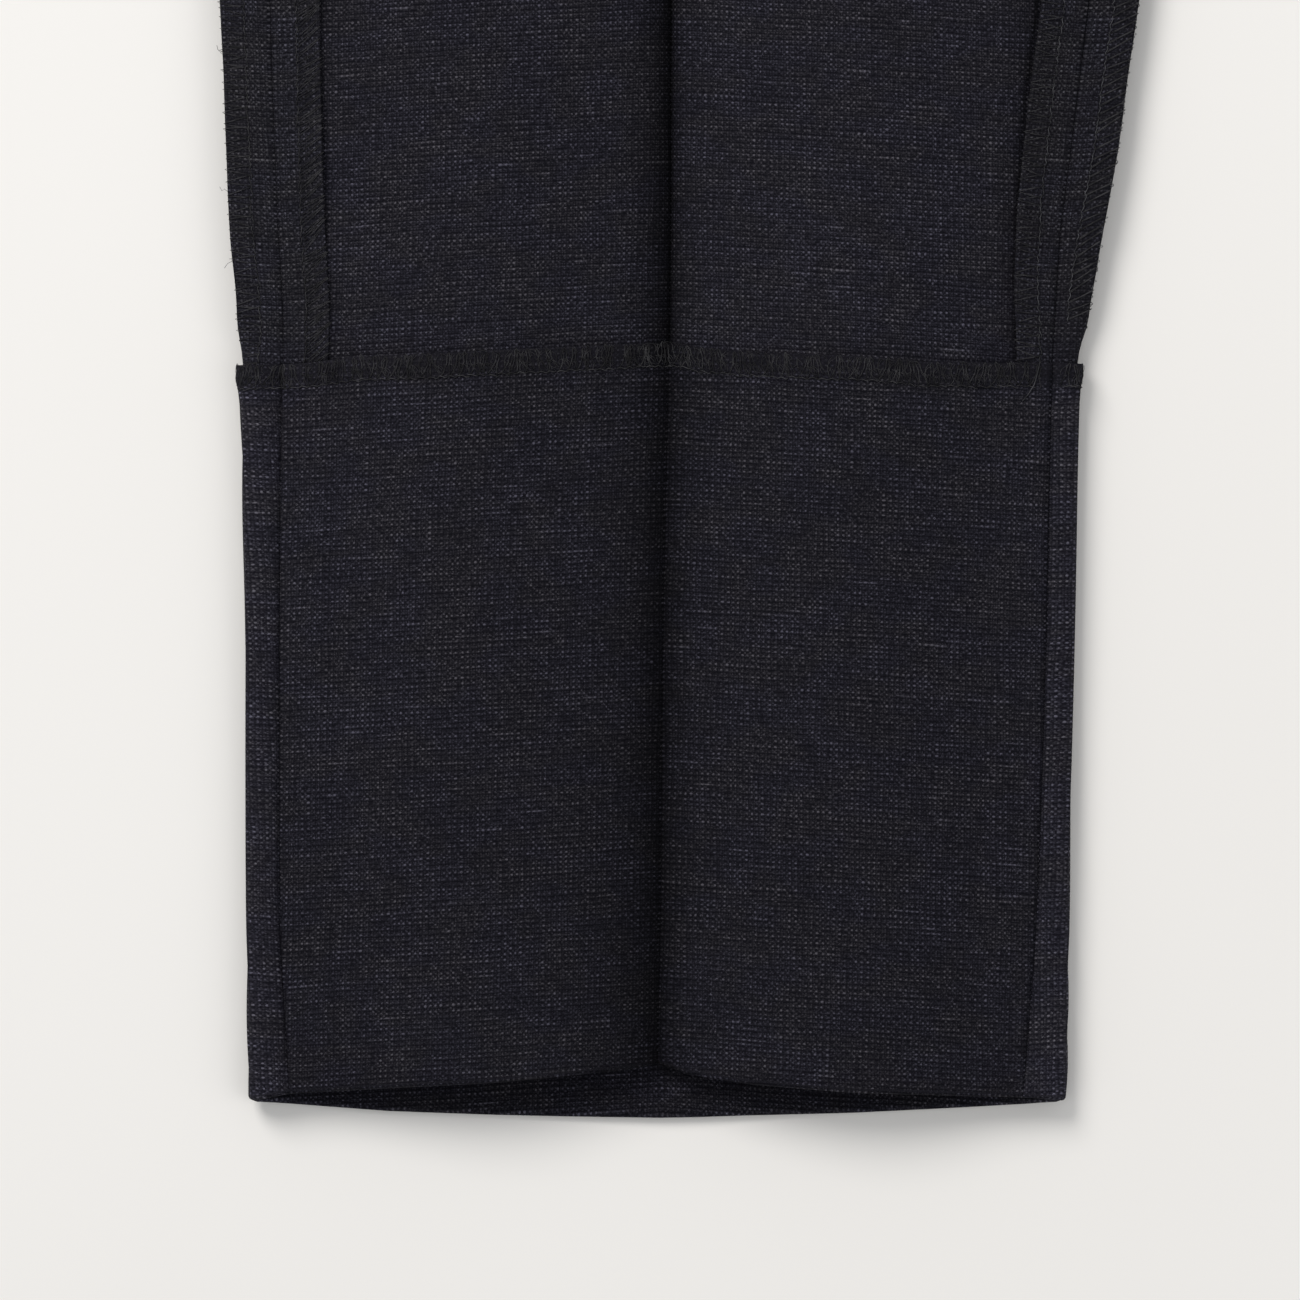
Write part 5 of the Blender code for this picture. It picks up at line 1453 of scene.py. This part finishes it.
fly_rows = np.concatenate([np.linspace(FLY_TOP, FLY_BOTTOM + 12.0, 44), FLY_BOTTOM + np.array(
    [9.0, 6.0, 3.5, 1.8, 0.8, 0.3, 0.0])])
facing_across = np.concatenate([FLY_REACH - np.array([0, 0.15, 0.5, 1.2, 2.4, 4.0, 5.0, 6.0]),
                                np.linspace(34.0, 2.0, 9), [1.0, 0.4, 0.1]])
lower = FLY_BOTTOM + FACING_CURVE * (facing_across / FLY_REACH) ** 3
share = (fly_rows - FLY_BOTTOM) / (FLY_TOP - FLY_BOTTOM)
facing_heights = lower + (FLY_TOP - lower) * share[:, None]
facing_places = np.tile(facing_across, (len(fly_rows), 1))
to_edge = np.minimum(FLY_REACH - facing_places, facing_heights - lower)
raised = FACING_RAISED + 0.12 * unevenness(facing_places, facing_heights, (14.0, 22.0), 33)
fly_facing, facing_out = over_front(facing_places, facing_heights, raised, 1)
made = cloth_mesh("fly_facing_cloth", fly_facing, facing_out, rounded(to_edge, FACING_HALF, 0.0),
                  np.stack([-facing_places, facing_heights], axis=-1), allowance_cloth,
                  stitched=under_overlock(to_edge))
dress(made, ["fly_facing"])
rim, rim_out = (np.concatenate([grid[:, 0], grid[-1, 1:-3]]) for grid in (fly_facing, facing_out))
side = np.cross(rim_out, unit(np.gradient(rim, axis=0)))
overlocked_rim("fly_facing", rim, side, rim_out, FACING_HALF, 124)

# Distances from the centre, minus on the left front, with the shield's height over the front there
SHIELD_PROFILE = np.array([(-FLY_REACH, 5.3), (-5.25, 5.3), (-1.5, 5.2), (1.5, 4.0), (5.25, 1.85),
                           (SHIELD_BEYOND, 1.75)])
shield_across = np.concatenate([DOUBLED_EDGE - FLY_REACH, np.linspace(-34.0, -4.0, 9),
                                [-2, -1, 0, 1, 2, 3.5, 5.25, 7, 8.5, 9.6, 10.2, 10.4, SHIELD_BEYOND]])
shield_places = np.tile(np.abs(shield_across), (len(fly_rows), 1))
shield_heights = np.tile(fly_rows[:, None], (1, len(shield_across)))
raised = np.interp(shield_across, SHIELD_PROFILE[:, 0], SHIELD_PROFILE[:, 1])
over_slider = smooth((shield_heights - SLIDER_FROM) / 13.0) * smooth(-shield_across / 3.0)
raised = raised + SHIELD_LIFT * over_slider
raised += 0.15 * unevenness(shield_places, shield_heights, (16.0, 27.0), 34)
shield, shield_out = over_front(shield_places, shield_heights, raised, 1)
to_right = shield_across > 0
shield[:, to_right, 0] *= -1
shield_out[:, to_right, 0] *= -1
to_edge = np.minimum(np.minimum(shield_across + FLY_REACH, SHIELD_BEYOND - shield_across),
                     (fly_rows - FLY_BOTTOM)[:, None])
made = cloth_mesh("fly_shield_cloth", shield, shield_out, rounded(to_edge, SHIELD_HALF),
                  np.stack([np.tile(shield_across, (len(fly_rows), 1)), shield_heights], axis=-1), cloth)
dress(made, ["fly_shield"])
for number, (edge, column) in enumerate((("left", 6), ("right", -3))):
    path = shield[:-6, column] + (SHIELD_HALF - STITCH_DIP) * shield_out[:-6, column]
    side = np.tile([1.0, 0.0, 0.0], (len(path), 1))
    seam_along(f"fly_shield_{edge}_stitching", path, side, shield_out[:-6, column], "plain",
               125 + number)

# Fly zip
# A closed metal zip on two woven tapes. The chain is two rows of teeth that grip each other. The slider
# is at the top, and its tab lies folded down on the chain, under the shield.

ZIP_RAISED = 2.5
TAPE_HALF = 0.35
TAPE_ROWS = np.linspace(WAIST - 1.0, FLY_BOTTOM + 4.0, 50)
TAPE_COLUMNS = 7
TAPE_EDGES = {"left": (26.8, 16.75), "right": (10.25, 0.2)}
CHAIN_ENDS = (WAIST - 14.0, FLY_BOTTOM + 5.0)
CHAIN_EDGES = (16.5, 10.5)
CHAIN_ROWS = np.linspace(*CHAIN_ENDS, 40)
TOOTH_PITCH = 0.66

# A tooth's rings from the tape's edge to its head: the place along it, half its width, its foot and top
TOOTH_RINGS = ((-2.7, 0.34, 0.35, 1.35), (-1.9, 0.40, 0.0, 1.7), (0.1, 0.38, 0.05, 1.65),
               (1.1, 0.24, 0.45, 1.25))

# The slider from above, its plates' heights over the chain's foot, its post, and its bridge, along and up
SLIDER_OUTLINE = ((-2.6, 0.0), (2.6, 0.0), (3.2, 3.0), (4.0, 7.2), (3.4, 9.4), (1.2, 10.0), (-1.2, 10.0),
                  (-3.4, 9.4), (-4.0, 7.2), (-3.2, 3.0))
SLIDER_PLATES = ((1.0, 1.7), (2.6, 3.3))
SLIDER_POST = ((-1.0, 7.4), (1.0, 7.4), (0.8, 9.2), (-0.8, 9.2))
POST_HEIGHTS = (1.6, 2.7)
BRIDGE_HALF = 0.8
BRIDGE_ARCH = ((0.9, 3.2), (1.4, 4.0), (3.2, 4.0), (6.2, 4.0), (7.0, 3.2))

# The tab's length, half widths, upper and lower faces, height over the front, and its eye
TAB_LENGTH = 22.0
TAB_HALF = 2.3
TAB_FOOT_HALF = 0.9 * TAB_HALF
TAB_HEIGHTS = (0.1, 1.1)
TAB_RAISED = 4.4
TAB_EYE = 1.15
EYE_BACK = 2.2


def tape_finish(name, dark, light):
    """Woven tape: fine slanted ribs that turn back and forth across its width, a herringbone."""
    made, shader = surface(name, 0.7)
    tree = made.node_tree
    place = node(tree, "ShaderNodeUVMap", uv_map="cloth").outputs["UV"]
    flat = node(tree, "ShaderNodeSeparateXYZ", {0: place})
    u, v = (calc(tree, "MULTIPLY", flat.outputs[axis], 1000.0) for axis in ("X", "Y"))
    zigzag = calc(tree, "PINGPONG", u, 1.3)
    rib = calc(tree, "FRACT", calc(tree, "DIVIDE", calc(tree, "ADD", v, zigzag), 0.62))
    ridge = between(tree, calc(tree, "ABSOLUTE", calc(tree, "SUBTRACT", rib, 0.5)), 0.45, 0.05)
    cloud = node(tree, "ShaderNodeTexNoise", {"Vector": place, "Scale": 900.0}).outputs["Fac"]
    share = calc(tree, "MULTIPLY", ridge, between(tree, cloud, 0.3, 0.7, 0.4, 1.0))
    tint(tree, shader, share, dark, light)
    relief(tree, shader, ridge, 0.5, 0.0001)
    shader.inputs["Specular IOR Level"].default_value = 0.1
    return made


def metal_finish(name, dull, bright):
    """Aged metal: browned in patches, brighter and smoother where it is handled."""
    made, shader = surface(name, 0.4)
    tree = made.node_tree
    place = node(tree, "ShaderNodeTexCoord").outputs["Object"]
    cloud = node(tree, "ShaderNodeTexNoise", {"Vector": place, "Scale": 600.0, "Detail": 4.0}).outputs["Fac"]
    handled = between(tree, cloud, 0.42, 0.65)
    tint(tree, shader, handled, dull, bright)
    tree.links.new(between(tree, cloud, 0.3, 0.7, 0.5, 0.25), shader.inputs["Roughness"])
    shader.inputs["Metallic"].default_value = 0.95
    return made


def tooth():
    """One tooth, from the tape's edge to its rounded head, in millimetres."""
    corners = [(x, y, z) for y, half, low, high in TOOTH_RINGS
               for x, z in ((-half, low), (half, low), (half, high), (-half, high))]
    faces = [(4 * r + k, 4 * r + (k + 1) % 4, 4 * r + 4 + (k + 1) % 4, 4 * r + 4 + k)
             for r in range(len(TOOTH_RINGS) - 1) for k in range(4)]
    last = 4 * (len(TOOTH_RINGS) - 1)
    faces += [(3, 2, 1, 0), (last, last + 1, last + 2, last + 3)]
    mesh = plain_mesh("zip_tooth", np.array(corners), [face[::-1] for face in faces])
    return bpy.data.objects.new("zip_tooth", mesh)


def tooth_row_tree():
    """A straight row of teeth, every other one turned to face the first."""
    tree, given = group("zip_teeth", "GeometryNodeTree", (
        ("Tooth", "Object"), ("Count", "Int"), ("Pitch", "Float"), ("Material", "Material")),
        (("Geometry", "Geometry"),))
    step = node(tree, "ShaderNodeCombineXYZ", {0: given["Pitch"]}).outputs[0]
    line = node(tree, "GeometryNodeMeshLine", {"Count": given["Count"], "Offset": step}).outputs[0]
    number = tree.nodes.new("GeometryNodeInputIndex").outputs[0]
    turned = calc(tree, "MULTIPLY", calc(tree, "MODULO", number, 2.0), math.pi)
    turn = node(tree, "ShaderNodeCombineXYZ", {2: turned}).outputs[0]
    return repeated(tree, given["Tooth"], given["Material"], {"Points": line, "Rotation": turn})


def metal_piece(name, corners, faces, bevel, node_name):
    """A small metal piece in millimetres, with its edges softened."""
    mesh = plain_mesh(name, np.array(corners), faces, aged_metal)
    shape = bmesh.new()
    shape.from_mesh(mesh)
    bmesh.ops.recalc_face_normals(shape, faces=shape.faces)
    sharp = [edge for edge in shape.edges if edge.calc_face_angle(0.0) > 0.6]
    bmesh.ops.bevel(shape, geom=sharp, offset=bevel, segments=2, affect="EDGES", profile=0.6)
    places = np.array([corner.co for corner in shape.verts])
    shape.to_mesh(mesh)
    shape.free()
    made = sewn(name, mesh, places, False)
    mesh.set_sharp_from_angle(angle=math.radians(40))
    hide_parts(node_name)


def prism(outline, low, high):
    """Corners and faces of a flat shape with straight sides."""
    count = len(outline)
    corners = [(x, y, low) for x, y in outline] + [(x, y, high) for x, y in outline]
    faces = [(k, (k + 1) % count, count + (k + 1) % count, count + k) for k in range(count)]
    return np.array(corners), faces + [tuple(range(count))[::-1], tuple(range(count, 2 * count))]


tape_cloth = tape_finish("zip_tape_weave", (0.006, 0.006, 0.009), (0.030, 0.030, 0.040))
aged_metal = metal_finish("aged_brass", (0.055, 0.045, 0.030), (0.17, 0.135, 0.085))
for leg, edges in TAPE_EDGES.items():
    places, heights = np.meshgrid(np.linspace(*edges, TAPE_COLUMNS), TAPE_ROWS)
    tape, tape_out = over_front(places, heights, np.full(places.shape, ZIP_RAISED), 1)
    made = cloth_mesh(f"zip_tape_{leg}_woven", tape, tape_out, TAPE_HALF,
                      np.stack([-places, heights], axis=-1), tape_cloth)
    dress(made, [f"zip_tape_{leg}"])
places, heights = np.meshgrid(CHAIN_EDGES, CHAIN_ROWS)
chain, chain_out = over_front(places, heights, np.full(places.shape, ZIP_RAISED - TAPE_HALF), 1)
chain_length = along(chain[:, 1])[-1]
values = {"Tooth": tooth(), "Count": int(chain_length / TOOTH_PITCH), "Pitch": TOOTH_PITCH,
          "Material": aged_metal}
mesh = grown(tooth_row_tree(), values)
made = sewn("zip_chain_teeth", mesh, laid_on(mesh, chain, chain_out, 3.0, 0.1), False)
made.data.shade_flat()
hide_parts("zip_chain")
chain_x, chain_z = chain[0].mean(axis=0)[0], chain[0].mean(axis=0)[2]
slider_foot = CHAIN_ENDS[0] + GAP
parts = [prism([(chain_x + x, slider_foot + y) for x, y in outline], chain_z + low, chain_z + high)
         for outline, (low, high) in ((SLIDER_OUTLINE, SLIDER_PLATES[0]),
                                      (SLIDER_OUTLINE, SLIDER_PLATES[1]), (SLIDER_POST, POST_HEIGHTS))]
bridge = np.array([(chain_x + side, slider_foot + y, chain_z + z)
                   for side in (-BRIDGE_HALF, BRIDGE_HALF) for y, z in BRIDGE_ARCH])
bridge_faces = [(k, k + 1, 6 + k, 5 + k) for k in range(4)]
parts.append((bridge, bridge_faces + [(4, 0, 5, 9), (0, 4, 3, 2, 1), (5, 6, 7, 8, 9)]))
metal_piece("zip_slider_metal", *joined(parts), 0.18, "zip_slider")
turns = np.linspace(0, 2 * math.pi, 33)[:-1]
tab_rim = []
for a in turns:
    x, y = math.cos(a), math.sin(a)
    if y >= 0:
        tab_rim.append((TAB_HALF * x, TAB_HALF * y * 0.95 - EYE_BACK))
    else:
        reach = min(TAB_FOOT_HALF / max(abs(x), 1e-6), (TAB_LENGTH - EYE_BACK) / abs(y))
        tab_rim.append((x * reach, y * reach - EYE_BACK))
tab_eye = [(TAB_EYE * math.cos(a), TAB_EYE * math.sin(a) - EYE_BACK) for a in turns]
tab_base = chain_z - ZIP_RAISED + TAPE_HALF + TAB_RAISED
count = len(turns)
low, high = TAB_HEIGHTS
levels = [(tab_rim, low), (tab_rim, high), (tab_eye, high), (tab_eye, low)]
corners = [(chain_x + x, CHAIN_ENDS[0] + y, tab_base + z) for loop, z in levels for x, y in loop]
faces = [(count * r + k, count * r + (k + 1) % count, count * ((r + 1) % 4) + (k + 1) % count,
          count * ((r + 1) % 4) + k) for r in range(4) for k in range(count)]
metal_piece("zip_tab_metal", corners, faces, 0.15, "zip_tab")

# Waist button
# A dark horn-like button, turned with a rim and a dished middle, with four holes. It is sewn through
# the underlap with crossed thread.

BUTTON_X = -31.0
BUTTON_SEAT = LAP_HEIGHT + BAND_THICK / 2 + GAP
HOLE_RADIUS = 0.8
HOLE_OFF = 1.45
BAR_RADIUS = 0.17
BAR_SPACING = 0.32
BAR_ARCH = 0.45

# The turned profile from the middle of the top to the middle of the underside: radius and height
BUTTON_PROFILE = ((0.0, 1.55), (2.6, 1.55), (3.6, 1.75), (4.4, 2.25), (5.2, 2.55), (6.0, 2.6), (6.6, 2.4),
                  (6.95, 1.9), (7.0, 1.3), (6.7, 0.7), (6.0, 0.3), (4.5, 0.05), (0.0, 0.0))
BUTTON_SIDES = 64


def horn_finish(name, dark, light):
    """Polished horn: long soft streaks, deep and dark between them."""
    made, shader = surface(name, 0.22)
    tree = made.node_tree
    place = node(tree, "ShaderNodeTexCoord").outputs["Object"]
    stretched = node(tree, "ShaderNodeMapping", {"Vector": place, "Rotation": (0.0, 0.0, 0.6),
                                                 "Scale": (90.0, 420.0, 200.0)}).outputs[0]
    streak = node(tree, "ShaderNodeTexNoise", {"Vector": stretched, "Scale": 1.0, "Detail": 5.0,
                                               "Distortion": 0.8}).outputs["Fac"]
    tone = between(tree, streak, 0.40, 0.68)
    tint(tree, shader, tone, dark, light)
    tree.links.new(between(tree, streak, 0.3, 0.7, 0.30, 0.46), shader.inputs["Roughness"])
    shader.inputs["Specular IOR Level"].default_value = 0.32
    return made


def turned(profile, sides):
    """A round piece turned about its middle."""
    shape = bmesh.new()
    path = [shape.verts.new((radius, 0.0, height)) for radius, height in profile]
    edges = [shape.edges.new(pair) for pair in zip(path, path[1:])]
    bmesh.ops.spin(shape, geom=path + edges, cent=(0, 0, 0), axis=(0, 0, 1), angle=2 * math.pi,
                   steps=sides, use_merge=False)
    bmesh.ops.remove_doubles(shape, verts=shape.verts, dist=0.001)
    bmesh.ops.recalc_face_normals(shape, faces=shape.faces)
    return shape


def linked(name, shape):
    """An object of a worked shape, in the scene."""
    mesh = bpy.data.meshes.new(name)
    shape.to_mesh(mesh)
    shape.free()
    made = bpy.data.objects.new(name, mesh)
    bpy.context.scene.collection.objects.link(made)
    return made


blank = linked("button_blank", turned(BUTTON_PROFILE, BUTTON_SIDES))
drill = bmesh.new()
for x, y in ((-1, -1), (1, -1), (1, 1), (-1, 1)):
    bit = bmesh.ops.create_cone(drill, cap_ends=True, segments=20, radius1=HOLE_RADIUS, radius2=HOLE_RADIUS,
                                depth=6.0)
    bmesh.ops.translate(drill, vec=(x * HOLE_OFF, y * HOLE_OFF, 1.0), verts=bit["verts"])
drill = linked("button_drill", drill)
cut = blank.modifiers.new("holes", "BOOLEAN")
cut.object = drill
graph = bpy.context.evaluated_depsgraph_get()
mesh = bpy.data.meshes.new_from_object(blank.evaluated_get(graph))
mesh.name = "waist_button_horn"
bpy.data.objects.remove(blank)
bpy.data.objects.remove(drill)
places = np.empty(len(mesh.vertices) * 3)
mesh.vertices.foreach_get("co", places)
places = places.reshape(-1, 3) + (BUTTON_X, lap_middle, BUTTON_SEAT)
mesh.materials.clear()
mesh.materials.append(horn_finish("dark_horn", (0.005, 0.0042, 0.004), (0.040, 0.028, 0.021)))
made = sewn("waist_button_horn", mesh, places, False)
made.data.set_sharp_from_angle(angle=math.radians(35))
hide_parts("waist_button")
bars = []
for y in (-HOLE_OFF, HOLE_OFF):
    for k in (-BAR_SPACING, 0.0, BAR_SPACING):
        across = np.linspace(-HOLE_OFF, HOLE_OFF, 7)
        arch = BAR_ARCH * np.sqrt(np.clip(1 - (across / HOLE_OFF) ** 4, 0, 1))
        lift = BUTTON_PROFILE[0][1] + arch - 0.1 * abs(k)
        path = [(x, y + k, z) for x, z in zip(across, lift)]
        path = [(-HOLE_OFF, y + k, -0.4), *path, (HOLE_OFF, y + k, -0.4)]
        bars.append(thread(path, BAR_RADIUS, 5))
corners, faces = joined(bars)
mesh = plain_mesh("waist_button_thread", corners, faces, sewing_thread)
sewn("waist_button_thread", mesh, corners + (BUTTON_X, lap_middle, BUTTON_SEAT), False)

for pattern in (*STITCHES.values(), values["Tooth"]):
    bpy.data.objects.remove(pattern)
